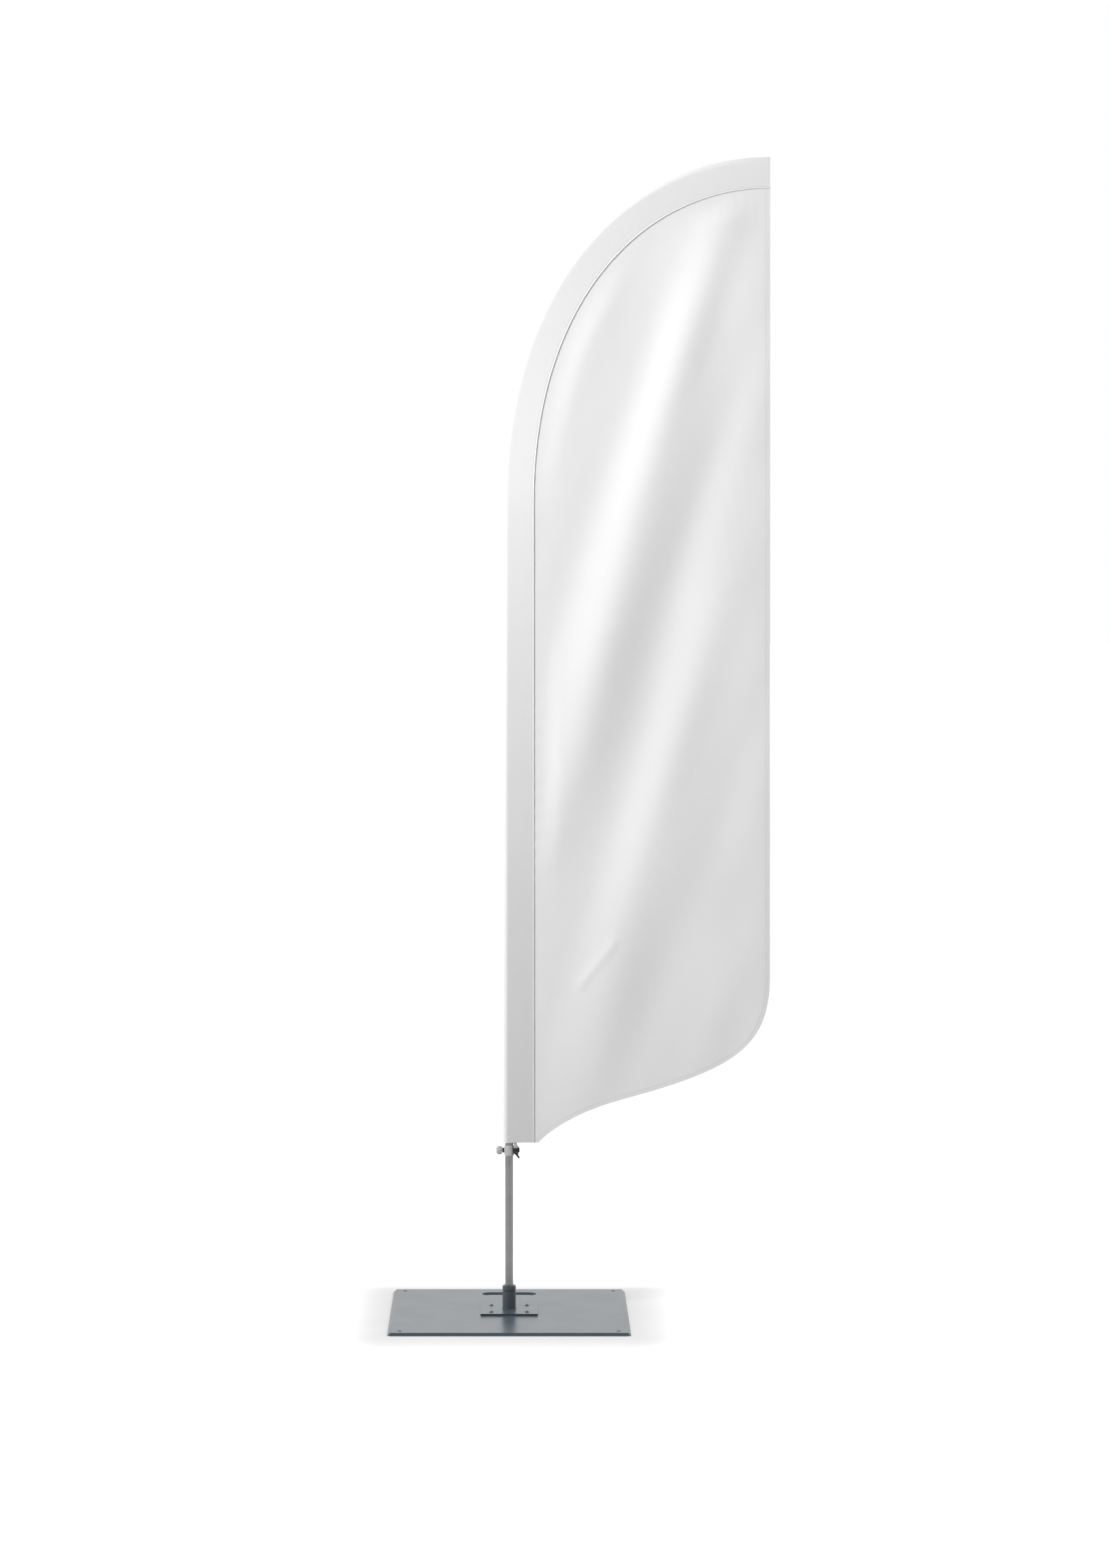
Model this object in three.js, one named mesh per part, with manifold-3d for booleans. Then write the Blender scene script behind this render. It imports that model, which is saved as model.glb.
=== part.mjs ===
// Feather flag on a swivelling pole with a square steel floor plate.
// Millimetres, +Z up. The origin is on the pole's axis at floor level, and the flag flies towards +X.
import * as THREE from "three";
import { mergeVertices } from "three/addons/utils/BufferGeometryUtils.js";
import Module from "manifold-3d";

const wasm = await Module();
wasm.setup();

// ---------------------------------------------------------------- driving dimensions

const GAP = 0.3; // running gap between neighbours

// floor plate
const PLATE_HALF = 250;
const PLATE_THICKNESS = 6;
const PLATE_BEVEL = 5.6;
const PLATE_CORNER_RADIUS = 9;
const ANCHOR_OFFSET = 225; // ground anchor holes, from the middle to each side
const ANCHOR_RADIUS = 4;
const SLOT_LENGTH = 116;
const SLOT_WIDTH = 36;
const SLOT_Y = 189;

// spigot unit, screwed to the middle of the floor plate
const MOUNT_SIZE = 120;
const MOUNT_THICKNESS = 4;
const MOUNT_BEVEL = 0.6;
const MOUNT_CORNER_RADIUS = 2;
const MOUNT_TOP = PLATE_THICKNESS + MOUNT_THICKNESS;
const MOUNT_HOLE_RADIUS = 12.3; // the rotor is assembled through it, from below
const SCREW_OFFSET = 37.5;
const SCREW_RADIUS = 2.5;
const SCREW_HEAD_RADIUS = 4.6;
const SCREW_HEAD_HEIGHT = 2.6;
const SCREW_DEPTH = 4.5; // how far each screw goes into the floor plate
const SOCKET_RADIUS = 1.7; // the hexagonal socket in each head, across its corners
const SOCKET_DEPTH = 1.6;
const HOUSING_RADIUS = 14;
const HOUSING_BORE = 12;
const HOUSING_TOP = 48;
const HOUSING_CHAMFER = 0.6;
const BUSH_OUTER = 11.7;
const BUSH_INNER = 10.5;
const BUSH_FLANGE = 1.2;
const LOWER_BUSH_BOTTOM = 12;
const LOWER_BUSH_TOP = 24;
const UPPER_BUSH_BOTTOM = 34;
const UPPER_FLANGE_BOTTOM = HOUSING_TOP + 0.1;
const ROTOR_RADIUS = 10.2;
const ROTOR_BORE = 8.9;
const ROTOR_TOP = 60;
const ROTOR_FLOOR = 17; // floor of the socket that the pole stands on
const ROTOR_ROUND = 3; // rounding of the cap's upper edge
const STUB_RADIUS = 8;
const STUB_BOTTOM = 7.4;
const GROOVE_RADIUS = 7;
const GROOVE_BOTTOM = 9;
const GROOVE_TOP = 10.4;
const RETAINING_RING_BOTTOM = 9.2;
const RETAINING_RING_THICKNESS = 1;
const WASHER_BOTTOM = 10.7;
const WASHER_THICKNESS = 1;

// pole
const LOWER_RADIUS = 8.5;
const TUBE_WALL = 1.2;
const LOWER_TOP = 900;
const MIDDLE_RADIUS = 6.9;
const MIDDLE_TOP = 1640;
const OVERLAP = 80; // how far each section plugs into the one below
const ROD_RADIUS = 5.3;
const ROD_TIP_RADIUS = 2.6;
const FERRULE_LENGTH = 24;
const ROD_END = 0.968; // where the rod ends along the flag's arc, 0 to 1
const PLUG_FOOT = 3; // length of the foot plug below the tube
const PLUG_STEM = 12; // length of the foot plug inside the tube
const CAP_LENGTH = 9;
const CAP_SKIRT = 6; // how far the tip cap reaches back over the rod
const CAP_WALL = 1.1;

// flag outline: a straight mast edge, then one arc over to the upper corner
const EDGE_TO_POLE = 12.5; // from the flag's outer edge in to the pole's axis
const SLEEVE_WIDTH = 65;
const FLAG_BOTTOM = 359;
const ARC_START = 1709;
const FLAG_TOP = 2436;
const FLAG_RIGHT = 550;
const ARC_PULL_UP = 464;
const ARC_PULL_BACK = 302;
const ARC_STEPS = 30;
const SLEEVE_HALF_THICKNESS = 10.4;
const SLEEVE_TIP_HALF_THICKNESS = 6;
const SEAM_HALF_THICKNESS = 1;
const FABRIC_WALL = 1.2;
const PANEL_THICKNESS = 1.2;
const SLEEVE_END_WALL = 0.008; // share of the arc that closes the sleeve's upper end
const HEM_START = new THREE.Vector2(62, FLAG_BOTTOM); // where the lower edge leaves the sleeve
const HEM_START_PULL = new THREE.Vector2(14, 17);
const HEM_TURN = new THREE.Vector2(236.5, 449.5); // where the lower edge turns from hollow to full
const HEM_TURN_SLOPE = new THREE.Vector2(1, 0.2688);
const HEM_TURN_PULL_LEFT = 104.6;
const HEM_TURN_PULL_RIGHT = 244;
const HEM_END = new THREE.Vector2(FLAG_RIGHT, 711); // where the lower edge meets the fly edge
const HEM_END_PULL = 149;

// tension collar, clamped on the pole just below the flag
const COLLAR_BOTTOM = 332.4;
const COLLAR_TOP = 354.4;
const COLLAR_RADIUS = 10.4;
const COLLAR_BORE = 8.9;
const COLLAR_CHAMFER = 1.1;
const CLAMP_Z = 344; // height of the clamping screw's axis
const BOSS_RADIUS = 4.8;
const BOSS_END = 14.2;
const INSERT_RADIUS = 3.4;
const INSERT_BORE = 2.5;
const INSERT_LENGTH = 4.2;
const STUD_RADIUS = 2.1;
const STUD_INTO_KNOB = 9;
const PAD_RADIUS = 2.2;
const PAD_THICKNESS = 1.4;
const KNOB_RADIUS = 9.3;
const KNOB_START = 14.6;
const KNOB_END = 27.6;
const KNOB_FLUTES = 7;
const FLUTE_RADIUS = 2.6;
const FLUTE_OUTSIDE = 1.2; // how far each flute's axis lies outside the knob
const PEG = new THREE.Vector2(15.6, 341.5); // the peg that holds the hook, in x and z
const PEG_RADIUS = 2.2;
const PEG_HEAD_RADIUS = 3.4;
const EAR_REACH = 5; // the ear's half height, and its round end's radius
const EAR_BACK = -2.4; // the ear's y range, behind the hook
const EAR_FRONT = -5.2;
const HOOK_BACK = -5.6;
const HOOK_FRONT = -10.6;
const HOOK_TOP = 353.4;
const HOOK_WIDTH = 12.8;
const HOOK_HEIGHT = 18;
const HOOK_CORNER = 5.8;
const HOOK_SLOT = { width: 7.6, height: 2, belowTop: 3.2 };
const LIP = { thickness: 4, length: 12, lean: 38, left: 1.6, aboveBottom: 2.2 };
const THROAT = { length: 12, height: 3, fall: 28 };

// elastic tab between the hook and the sleeve's front wall
const ELASTIC = { width: 6.6, thickness: 1.6, y: -6, leftOfPeg: 3, intoSleeve: 14 };

// ---------------------------------------------------------------- materials

function finish(color, roughness, metalness) {
  return new THREE.MeshStandardMaterial({ color, roughness, metalness });
}

const platePaint = finish(0x9fa5a8, 0.5, 0.2);
const housingPaint = finish(0x4c5357, 0.45, 0.3);
const steel = finish(0xb4b7ba, 0.35, 0.9);
const brass = finish(0xb39a5e, 0.35, 0.9);
const poleMetal = finish(0x9a9b9c, 0.4, 0.8);
const fibreglass = finish(0xc9cac6, 0.45, 0);
const lightPlastic = finish(0xb9bab9, 0.5, 0);
const blackPlastic = finish(0x26272a, 0.45, 0);
const nylon = finish(0xe4e2da, 0.5, 0);
const fabric = finish(0xf2f2f2, 0.9, 0);
const webbing = finish(0xc4c4c4, 0.9, 0);

// ---------------------------------------------------------------- solids

function toSolid(geometry) {
  const bare = geometry.clone();
  bare.deleteAttribute("normal");
  bare.deleteAttribute("uv");
  const merged = mergeVertices(bare, 1e-5);
  const vertProperties = new Float32Array(merged.attributes.position.array);
  const triVerts = new Uint32Array(merged.index.array);
  return new wasm.Manifold(new wasm.Mesh({ numProp: 3, vertProperties, triVerts }));
}

function toGeometry(solid) {
  const mesh = solid.getMesh();
  const geometry = new THREE.BufferGeometry();
  geometry.setAttribute("position", new THREE.BufferAttribute(new Float32Array(mesh.vertProperties), 3));
  geometry.setIndex(new THREE.BufferAttribute(new Uint32Array(mesh.triVerts), 1));
  geometry.computeVertexNormals();
  return geometry;
}

function combine(base, { join = [], cut = [] }) {
  let solid = toSolid(base);
  for (const geometry of join) solid = solid.add(toSolid(geometry));
  for (const geometry of cut) solid = solid.subtract(toSolid(geometry));
  return toGeometry(solid);
}

// A turned piece about +Z. The profile is a list of [radius, z], counter-clockwise.
function turned(profile, segments = 32) {
  const points = profile.map(([radius, z]) => new THREE.Vector2(radius, z));
  return new THREE.LatheGeometry(points, segments).rotateX(Math.PI / 2);
}

function ring(inner, outer, bottom, top, segments = 32) {
  return turned([[inner, bottom], [outer, bottom], [outer, top], [inner, top], [inner, bottom]], segments);
}

function rod(radius, bottom, top, segments = 32) {
  return turned([[0, bottom], [radius, bottom], [radius, top], [0, top]], segments);
}

// A turned piece whose own axis is laid along -X at the clamping screw's height.
function alongClampAxis(geometry) {
  return geometry.rotateY(-Math.PI / 2).translate(0, 0, CLAMP_Z);
}

// A flat outline in x and z, thickened from y = back (the higher y) to y = front.
function slab(shape, back, front, curveSegments = 16) {
  const depth = back - front;
  const geometry = new THREE.ExtrudeGeometry(shape, { depth, bevelEnabled: false, curveSegments });
  return geometry.rotateX(Math.PI / 2).translate(0, back, 0);
}

// A closed skin over rings with the same number of points. Each ring runs counter-clockwise as seen
// from ahead, looking back along the way the rings go.
function loft(rings) {
  const count = rings[0].length;
  const vertices = rings.flat();
  const index = [];
  for (let i = 0; i + 1 < rings.length; i += 1) {
    for (let j = 0; j < count; j += 1) {
      const a = i * count + j;
      const b = i * count + ((j + 1) % count);
      index.push(a, b, b + count, a, b + count, a + count);
    }
  }
  for (const [first, ahead] of [[0, false], [(rings.length - 1) * count, true]]) {
    const middle = new THREE.Vector3();
    for (let j = 0; j < count; j += 1) middle.addScaledVector(vertices[first + j], 1 / count);
    const centre = vertices.push(middle) - 1;
    for (let j = 0; j < count; j += 1) {
      const a = first + j;
      const b = first + ((j + 1) % count);
      if (ahead) index.push(centre, a, b);
      else index.push(centre, b, a);
    }
  }
  const geometry = new THREE.BufferGeometry().setFromPoints(vertices);
  geometry.setIndex(index);
  geometry.computeVertexNormals();
  return geometry;
}

function piece(name, geometry, material) {
  const mesh = new THREE.Mesh(geometry, material);
  mesh.name = name;
  return mesh;
}

// ---------------------------------------------------------------- floor plate

function roundedSquare(half, radius, z) {
  const points = [];
  const steps = 5;
  for (let corner = 0; corner < 4; corner += 1) {
    for (let i = 0; i <= steps; i += 1) {
      const angle = ((corner + i / steps) * Math.PI) / 2;
      const x = (corner === 0 || corner === 3 ? 1 : -1) * (half - radius) + radius * Math.cos(angle);
      const y = (corner < 2 ? 1 : -1) * (half - radius) + radius * Math.sin(angle);
      points.push(new THREE.Vector3(x, y, z));
    }
  }
  return points;
}

function carrySlot() {
  const radius = SLOT_WIDTH / 2;
  const reach = SLOT_LENGTH / 2 - radius;
  const shape = new THREE.Shape();
  shape.absarc(reach, SLOT_Y, radius, -Math.PI / 2, Math.PI / 2, false);
  shape.absarc(-reach, SLOT_Y, radius, Math.PI / 2, (3 * Math.PI) / 2, false);
  const depth = PLATE_THICKNESS * 3;
  const options = { depth, bevelEnabled: false, curveSegments: 12 };
  return new THREE.ExtrudeGeometry(shape, options).translate(0, 0, -PLATE_THICKNESS);
}

function atCorners(offset, make) {
  const copies = [];
  for (const sy of [-1, 1]) {
    for (const sx of [-1, 1]) copies.push(make().translate(sx * offset, sy * offset, 0));
  }
  return copies;
}

function basePlate() {
  const edge = PLATE_THICKNESS - PLATE_BEVEL;
  const body = loft([
    roundedSquare(PLATE_HALF, PLATE_CORNER_RADIUS, 0),
    roundedSquare(PLATE_HALF, PLATE_CORNER_RADIUS, edge),
    roundedSquare(PLATE_HALF - PLATE_BEVEL, PLATE_CORNER_RADIUS - PLATE_BEVEL, PLATE_THICKNESS),
  ]);
  const anchors = atCorners(ANCHOR_OFFSET, () => rod(ANCHOR_RADIUS, -1, PLATE_THICKNESS + 1, 20));
  const tapped = PLATE_THICKNESS - SCREW_DEPTH - GAP;
  const threads = atCorners(SCREW_OFFSET, () => rod(SCREW_RADIUS + GAP, tapped, PLATE_THICKNESS + 1, 16));
  return combine(body, { cut: [carrySlot(), ...anchors, ...threads] });
}

// ---------------------------------------------------------------- spigot unit

function mountPlate() {
  const half = MOUNT_SIZE / 2;
  const body = loft([
    roundedSquare(half, MOUNT_CORNER_RADIUS, PLATE_THICKNESS),
    roundedSquare(half, MOUNT_CORNER_RADIUS, MOUNT_TOP - MOUNT_BEVEL),
    roundedSquare(half - MOUNT_BEVEL, MOUNT_CORNER_RADIUS - MOUNT_BEVEL, MOUNT_TOP),
  ]);
  const clearance = SCREW_RADIUS + GAP;
  const holes = atCorners(SCREW_OFFSET, () => rod(clearance, PLATE_THICKNESS - 1, MOUNT_TOP + 1, 16));
  const middle = rod(MOUNT_HOLE_RADIUS, PLATE_THICKNESS - 1, MOUNT_TOP + 1);
  return combine(body, { cut: [middle, ...holes] });
}

// A button-head screw with a hexagonal socket.
function mountScrew() {
  const head = MOUNT_TOP + SCREW_HEAD_HEIGHT;
  const seat = MOUNT_TOP + 0.05;
  const tip = PLATE_THICKNESS - SCREW_DEPTH;
  const body = turned([
    [0, tip],
    [SCREW_RADIUS, tip],
    [SCREW_RADIUS, seat],
    [SCREW_HEAD_RADIUS, seat],
    [SCREW_HEAD_RADIUS * 0.94, MOUNT_TOP + SCREW_HEAD_HEIGHT * 0.45],
    [SCREW_HEAD_RADIUS * 0.7, MOUNT_TOP + SCREW_HEAD_HEIGHT * 0.85],
    [SCREW_HEAD_RADIUS * 0.45, head],
    [0, head],
  ], 20);
  return combine(body, { cut: [rod(SOCKET_RADIUS, head - SOCKET_DEPTH, head + 1, 6)] });
}

function spigotHousing() {
  return turned([
    [HOUSING_BORE, MOUNT_TOP],
    [HOUSING_RADIUS, MOUNT_TOP],
    [HOUSING_RADIUS, HOUSING_TOP - HOUSING_CHAMFER],
    [HOUSING_RADIUS - HOUSING_CHAMFER, HOUSING_TOP],
    [HOUSING_BORE, HOUSING_TOP],
    [HOUSING_BORE, MOUNT_TOP],
  ]);
}

function lowerBush() {
  return ring(BUSH_INNER, BUSH_OUTER, LOWER_BUSH_BOTTOM, LOWER_BUSH_TOP);
}

function upperBush() {
  const flangeRadius = HOUSING_RADIUS - 1;
  const flangeTop = UPPER_FLANGE_BOTTOM + BUSH_FLANGE;
  return turned([
    [BUSH_INNER, UPPER_BUSH_BOTTOM],
    [BUSH_OUTER, UPPER_BUSH_BOTTOM],
    [BUSH_OUTER, UPPER_FLANGE_BOTTOM],
    [flangeRadius, UPPER_FLANGE_BOTTOM],
    [flangeRadius, flangeTop],
    [BUSH_INNER, flangeTop],
    [BUSH_INNER, UPPER_BUSH_BOTTOM],
  ]);
}

// The turning socket: a cap that runs on the upper bush, a tube between the bushes and a stub with
// the retaining ring's groove.
function rotorSocket() {
  const capBottom = UPPER_FLANGE_BOTTOM + BUSH_FLANGE + 0.4;
  const shoulder = WASHER_BOTTOM + WASHER_THICKNESS + 0.5;
  const profile = [
    [0, STUB_BOTTOM],
    [STUB_RADIUS, STUB_BOTTOM],
    [STUB_RADIUS, GROOVE_BOTTOM],
    [GROOVE_RADIUS, GROOVE_BOTTOM],
    [GROOVE_RADIUS, GROOVE_TOP],
    [STUB_RADIUS, GROOVE_TOP],
    [STUB_RADIUS, shoulder],
    [ROTOR_RADIUS, shoulder],
    [ROTOR_RADIUS, capBottom],
    [HOUSING_RADIUS, capBottom],
  ];
  for (let i = 0; i <= 4; i += 1) {
    const angle = (i / 4) * (Math.PI / 2);
    const radius = HOUSING_RADIUS - ROTOR_ROUND + ROTOR_ROUND * Math.cos(angle);
    profile.push([radius, ROTOR_TOP - ROTOR_ROUND + ROTOR_ROUND * Math.sin(angle)]);
  }
  profile.push([ROTOR_BORE + HOUSING_CHAMFER, ROTOR_TOP], [ROTOR_BORE, ROTOR_TOP - HOUSING_CHAMFER]);
  profile.push([ROTOR_BORE, ROTOR_FLOOR], [0, ROTOR_FLOOR]);
  return turned(profile);
}

function thrustWasher() {
  return ring(STUB_RADIUS + GAP, BUSH_OUTER, WASHER_BOTTOM, WASHER_BOTTOM + WASHER_THICKNESS);
}

// An external retaining ring: three quarters of a ring and more, open towards -X.
function retainingRing() {
  const top = RETAINING_RING_BOTTOM + RETAINING_RING_THICKNESS;
  const body = ring(GROOVE_RADIUS + 0.15, GROOVE_RADIUS + 3, RETAINING_RING_BOTTOM, top);
  const mouth = new THREE.BoxGeometry(12, 5, 4).translate(-9, 0, RETAINING_RING_BOTTOM);
  return combine(body, { cut: [mouth] });
}

// ---------------------------------------------------------------- pole

function poleFootPlug() {
  const foot = ROTOR_FLOOR + GAP;
  const shoulder = foot + PLUG_FOOT;
  const stem = LOWER_RADIUS - TUBE_WALL - GAP;
  return turned([
    [0, foot],
    [LOWER_RADIUS - 1, foot],
    [LOWER_RADIUS, foot + 1],
    [LOWER_RADIUS, shoulder],
    [stem, shoulder],
    [stem, shoulder + PLUG_STEM],
    [0, shoulder + PLUG_STEM],
  ]);
}

function poleLowerTube() {
  return ring(LOWER_RADIUS - TUBE_WALL, LOWER_RADIUS, ROTOR_FLOOR + GAP + PLUG_FOOT + 0.1, LOWER_TOP);
}

// A stop ring that sits on the end of one section and grips the next one.
function ferrule(inner, outer, bottom) {
  const top = bottom + FERRULE_LENGTH;
  return turned([
    [inner, bottom],
    [outer, bottom],
    [outer, top - 5],
    [inner + 0.7, top],
    [inner, top],
    [inner, bottom],
  ], 24);
}

function poleMiddleTube() {
  return ring(MIDDLE_RADIUS - TUBE_WALL, MIDDLE_RADIUS, LOWER_TOP - OVERLAP, MIDDLE_TOP, 24);
}

// ---------------------------------------------------------------- flag

const arc = new THREE.CubicBezierCurve(
  new THREE.Vector2(-EDGE_TO_POLE, ARC_START),
  new THREE.Vector2(-EDGE_TO_POLE, ARC_START + ARC_PULL_UP),
  new THREE.Vector2(FLAG_RIGHT - ARC_PULL_BACK, FLAG_TOP),
  new THREE.Vector2(FLAG_RIGHT, FLAG_TOP),
);

// Stations along the flag's outer edge: the point, the way along it and the way out from the flag.
// along is 0 where the arc starts and 1 at the flag's upper corner.
function station(point, way, along) {
  const at = new THREE.Vector3(point.x, 0, point.y);
  const out = new THREE.Vector3(-way.y, 0, way.x);
  const side = new THREE.Vector3(0, -1, 0);
  return { at, out, side, along };
}

function stations(bottom, end = 1) {
  const list = [station(new THREE.Vector2(-EDGE_TO_POLE, bottom), new THREE.Vector2(0, 1), 0)];
  for (let i = 0; i <= ARC_STEPS; i += 1) {
    const t = (i / ARC_STEPS) * end;
    list.push(station(arc.getPoint(t), arc.getTangent(t), t));
  }
  return list;
}

// A ring on a station. The section is a list of [inward, sideways], measured from the outer edge.
function ringAt(place, section) {
  return section.map(([inward, sideways]) =>
    place.at.clone().addScaledVector(place.out, -inward).addScaledVector(place.side, sideways));
}

// The sleeve's teardrop section: round about the pole, tapering to the seam, inset by the wall.
function sleeveSection(halfThickness, inset) {
  const far = SLEEVE_WIDTH - 10 * inset;
  const rows = [];
  const roundSteps = 5;
  for (let i = 0; i <= roundSteps; i += 1) {
    const angle = (i / roundSteps) * (Math.PI / 2);
    const reach = (EDGE_TO_POLE - inset) * Math.cos(angle);
    rows.push([EDGE_TO_POLE - reach, (halfThickness - inset) * Math.sin(angle)]);
  }
  const taperSteps = 6;
  for (let i = 1; i <= taperSteps; i += 1) {
    const inward = EDGE_TO_POLE + ((far - EDGE_TO_POLE) * i) / taperSteps;
    const fade = (1 + Math.cos((Math.PI * (inward - EDGE_TO_POLE)) / (SLEEVE_WIDTH - EDGE_TO_POLE))) / 2;
    const thickness = SEAM_HALF_THICKNESS + (halfThickness - SEAM_HALF_THICKNESS) * fade;
    rows.push([inward, Math.max(thickness - inset, 0.3)]);
  }
  const farSide = rows.slice(1).reverse().map(([inward, sideways]) => [inward, -sideways]);
  return [...rows, ...farSide];
}

function sleeveLoft(bottom, end, inset) {
  const rings = stations(bottom, end).map((place) => {
    const half = THREE.MathUtils.lerp(SLEEVE_HALF_THICKNESS, SLEEVE_TIP_HALF_THICKNESS, place.along);
    return ringAt(place, sleeveSection(half, inset));
  });
  return loft(rings);
}

function poleSleeve() {
  const hollow = sleeveLoft(FLAG_BOTTOM - 5, 1 - SLEEVE_END_WALL, FABRIC_WALL);
  return combine(sleeveLoft(FLAG_BOTTOM, 1, 0), { cut: [hollow] });
}

function flagPanel() {
  const inward = SLEEVE_WIDTH + GAP;
  const seam = stations(FLAG_BOTTOM).map(({ at, out }) => at.clone().addScaledVector(out, -inward));
  const shape = new THREE.Shape(seam.map(({ x, z }) => new THREE.Vector2(x, z)));
  const right = HEM_TURN.clone().addScaledVector(HEM_TURN_SLOPE, HEM_TURN_PULL_RIGHT);
  const left = HEM_TURN.clone().addScaledVector(HEM_TURN_SLOPE, -HEM_TURN_PULL_LEFT);
  const start = HEM_START.clone().add(HEM_START_PULL);
  shape.lineTo(HEM_END.x, HEM_END.y);
  shape.bezierCurveTo(HEM_END.x, HEM_END.y - HEM_END_PULL, right.x, right.y, HEM_TURN.x, HEM_TURN.y);
  shape.bezierCurveTo(left.x, left.y, start.x, start.y, HEM_START.x, HEM_START.y);
  return slab(shape, PANEL_THICKNESS / 2, -PANEL_THICKNESS / 2);
}

// A round section for ringAt, about a centre that lies that far in from the outer edge.
function circle(centre, radius, sides) {
  const points = [];
  for (let i = 0; i < sides; i += 1) {
    const angle = (i / sides) * 2 * Math.PI;
    points.push([centre - radius * Math.cos(angle), radius * Math.sin(angle)]);
  }
  return points;
}

// The flexible rod: straight where it plugs in, then bent along the sleeve.
function poleTipRod() {
  const rings = stations(MIDDLE_TOP - OVERLAP, ROD_END).map((place) => {
    const radius = THREE.MathUtils.lerp(ROD_RADIUS, ROD_TIP_RADIUS, place.along);
    return ringAt(place, circle(EDGE_TO_POLE, radius, 12));
  });
  return loft(rings);
}

function tipFrame() {
  const end = station(arc.getPoint(ROD_END), arc.getTangent(ROD_END), ROD_END);
  const axis = end.at.clone().addScaledVector(end.out, -EDGE_TO_POLE);
  const turn = Math.atan2(end.out.z, -end.out.x);
  return { axis, turn };
}

function alongTip(geometry) {
  const { axis, turn } = tipFrame();
  return geometry.rotateY(turn).translate(axis.x, axis.y, axis.z);
}

// A round plastic cap over the rod's end, so that it doesn't wear through the sleeve.
function poleTipCap() {
  const inner = ROD_TIP_RADIUS + 0.6;
  const outer = inner + CAP_WALL;
  return alongTip(turned([
    [0, 0.6],
    [inner, 0.6],
    [inner, -CAP_SKIRT],
    [outer, -CAP_SKIRT],
    [outer, CAP_LENGTH * 0.35],
    [outer * 0.86, CAP_LENGTH * 0.6],
    [outer * 0.5, CAP_LENGTH * 0.75],
    [0, CAP_LENGTH * 0.8],
  ], 20));
}

// ---------------------------------------------------------------- tension collar

function earShape() {
  const shape = new THREE.Shape();
  const root = COLLAR_RADIUS - 3.9;
  shape.moveTo(root, PEG.y + EAR_REACH);
  shape.lineTo(PEG.x, PEG.y + EAR_REACH);
  shape.absarc(PEG.x, PEG.y, EAR_REACH, Math.PI / 2, -Math.PI / 2, true);
  shape.lineTo(root, PEG.y - EAR_REACH);
  return shape;
}

function tensionCollar() {
  const core = COLLAR_BORE - 0.5;
  const body = turned([
    [core, COLLAR_BOTTOM],
    [COLLAR_RADIUS - COLLAR_CHAMFER, COLLAR_BOTTOM],
    [COLLAR_RADIUS, COLLAR_BOTTOM + COLLAR_CHAMFER],
    [COLLAR_RADIUS, COLLAR_TOP - COLLAR_CHAMFER],
    [COLLAR_RADIUS - COLLAR_CHAMFER, COLLAR_TOP],
    [core, COLLAR_TOP],
    [core, COLLAR_BOTTOM],
  ], 40);
  const boss = alongClampAxis(rod(BOSS_RADIUS, 7, BOSS_END, 24));
  const ear = slab(earShape(), EAR_BACK, EAR_FRONT, 8);
  const bore = rod(COLLAR_BORE, COLLAR_BOTTOM - 1, COLLAR_TOP + 1, 40);
  const insertBore = alongClampAxis(rod(INSERT_RADIUS + GAP, 5, BOSS_END + 1, 20));
  const pegHole = pegRod(PEG_RADIUS + GAP, EAR_BACK + 1, EAR_FRONT - 1);
  return combine(body, { join: [boss, ear], cut: [bore, insertBore, pegHole] });
}

function threadInsert() {
  const end = BOSS_END - 0.2;
  return alongClampAxis(ring(INSERT_BORE, INSERT_RADIUS, end - INSERT_LENGTH, end, 20));
}

function pegRod(radius, back, front) {
  return rod(radius, front, back, 16).rotateX(-Math.PI / 2).translate(PEG.x, 0, PEG.y);
}

function hookPeg() {
  const shank = pegRod(PEG_RADIUS, EAR_BACK, HOOK_FRONT - 0.5);
  const head = pegRod(PEG_HEAD_RADIUS, HOOK_FRONT - 0.35, HOOK_FRONT - 1.4);
  return combine(shank, { join: [head] });
}

// A flat snap hook: a slot for the elastic, a throat that snaps over the peg, and a flared lip.
function tensionHook() {
  const { x, y } = PEG;
  const bottom = HOOK_TOP - HOOK_HEIGHT;
  const middle = (HOOK_BACK + HOOK_FRONT) / 2;
  const reach = HOOK_WIDTH / 2 - HOOK_CORNER;
  const outline = new THREE.Shape();
  outline.absarc(x + reach, HOOK_TOP - HOOK_CORNER, HOOK_CORNER, 0, Math.PI / 2, false);
  outline.absarc(x - reach, HOOK_TOP - HOOK_CORNER, HOOK_CORNER, Math.PI / 2, Math.PI, false);
  outline.absarc(x - reach, bottom + HOOK_CORNER, HOOK_CORNER, Math.PI, 1.5 * Math.PI, false);
  outline.absarc(x + reach, bottom + HOOK_CORNER, HOOK_CORNER, 1.5 * Math.PI, 2 * Math.PI, false);
  const body = slab(outline, HOOK_BACK, HOOK_FRONT, 8);
  const lip = new THREE.BoxGeometry(LIP.thickness, HOOK_BACK - HOOK_FRONT, LIP.length)
    .translate(0, middle, -LIP.length / 2)
    .rotateY(THREE.MathUtils.degToRad(-LIP.lean))
    .translate(x - LIP.left, 0, bottom + LIP.aboveBottom);
  const eye = pegRod(PEG_RADIUS + 0.4, HOOK_BACK + 1, HOOK_FRONT - 1);
  const through = 12; // deeper than the hook is thick
  const throat = new THREE.BoxGeometry(THROAT.length, through, THROAT.height)
    .translate(THROAT.length / 2, middle, 0)
    .rotateY(THREE.MathUtils.degToRad(THROAT.fall))
    .translate(x, 0, y);
  const slot = new THREE.BoxGeometry(HOOK_SLOT.width, through, HOOK_SLOT.height)
    .translate(x, middle, HOOK_TOP - HOOK_SLOT.belowTop);
  return combine(body, { join: [lip], cut: [eye, throat, slot] });
}

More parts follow.
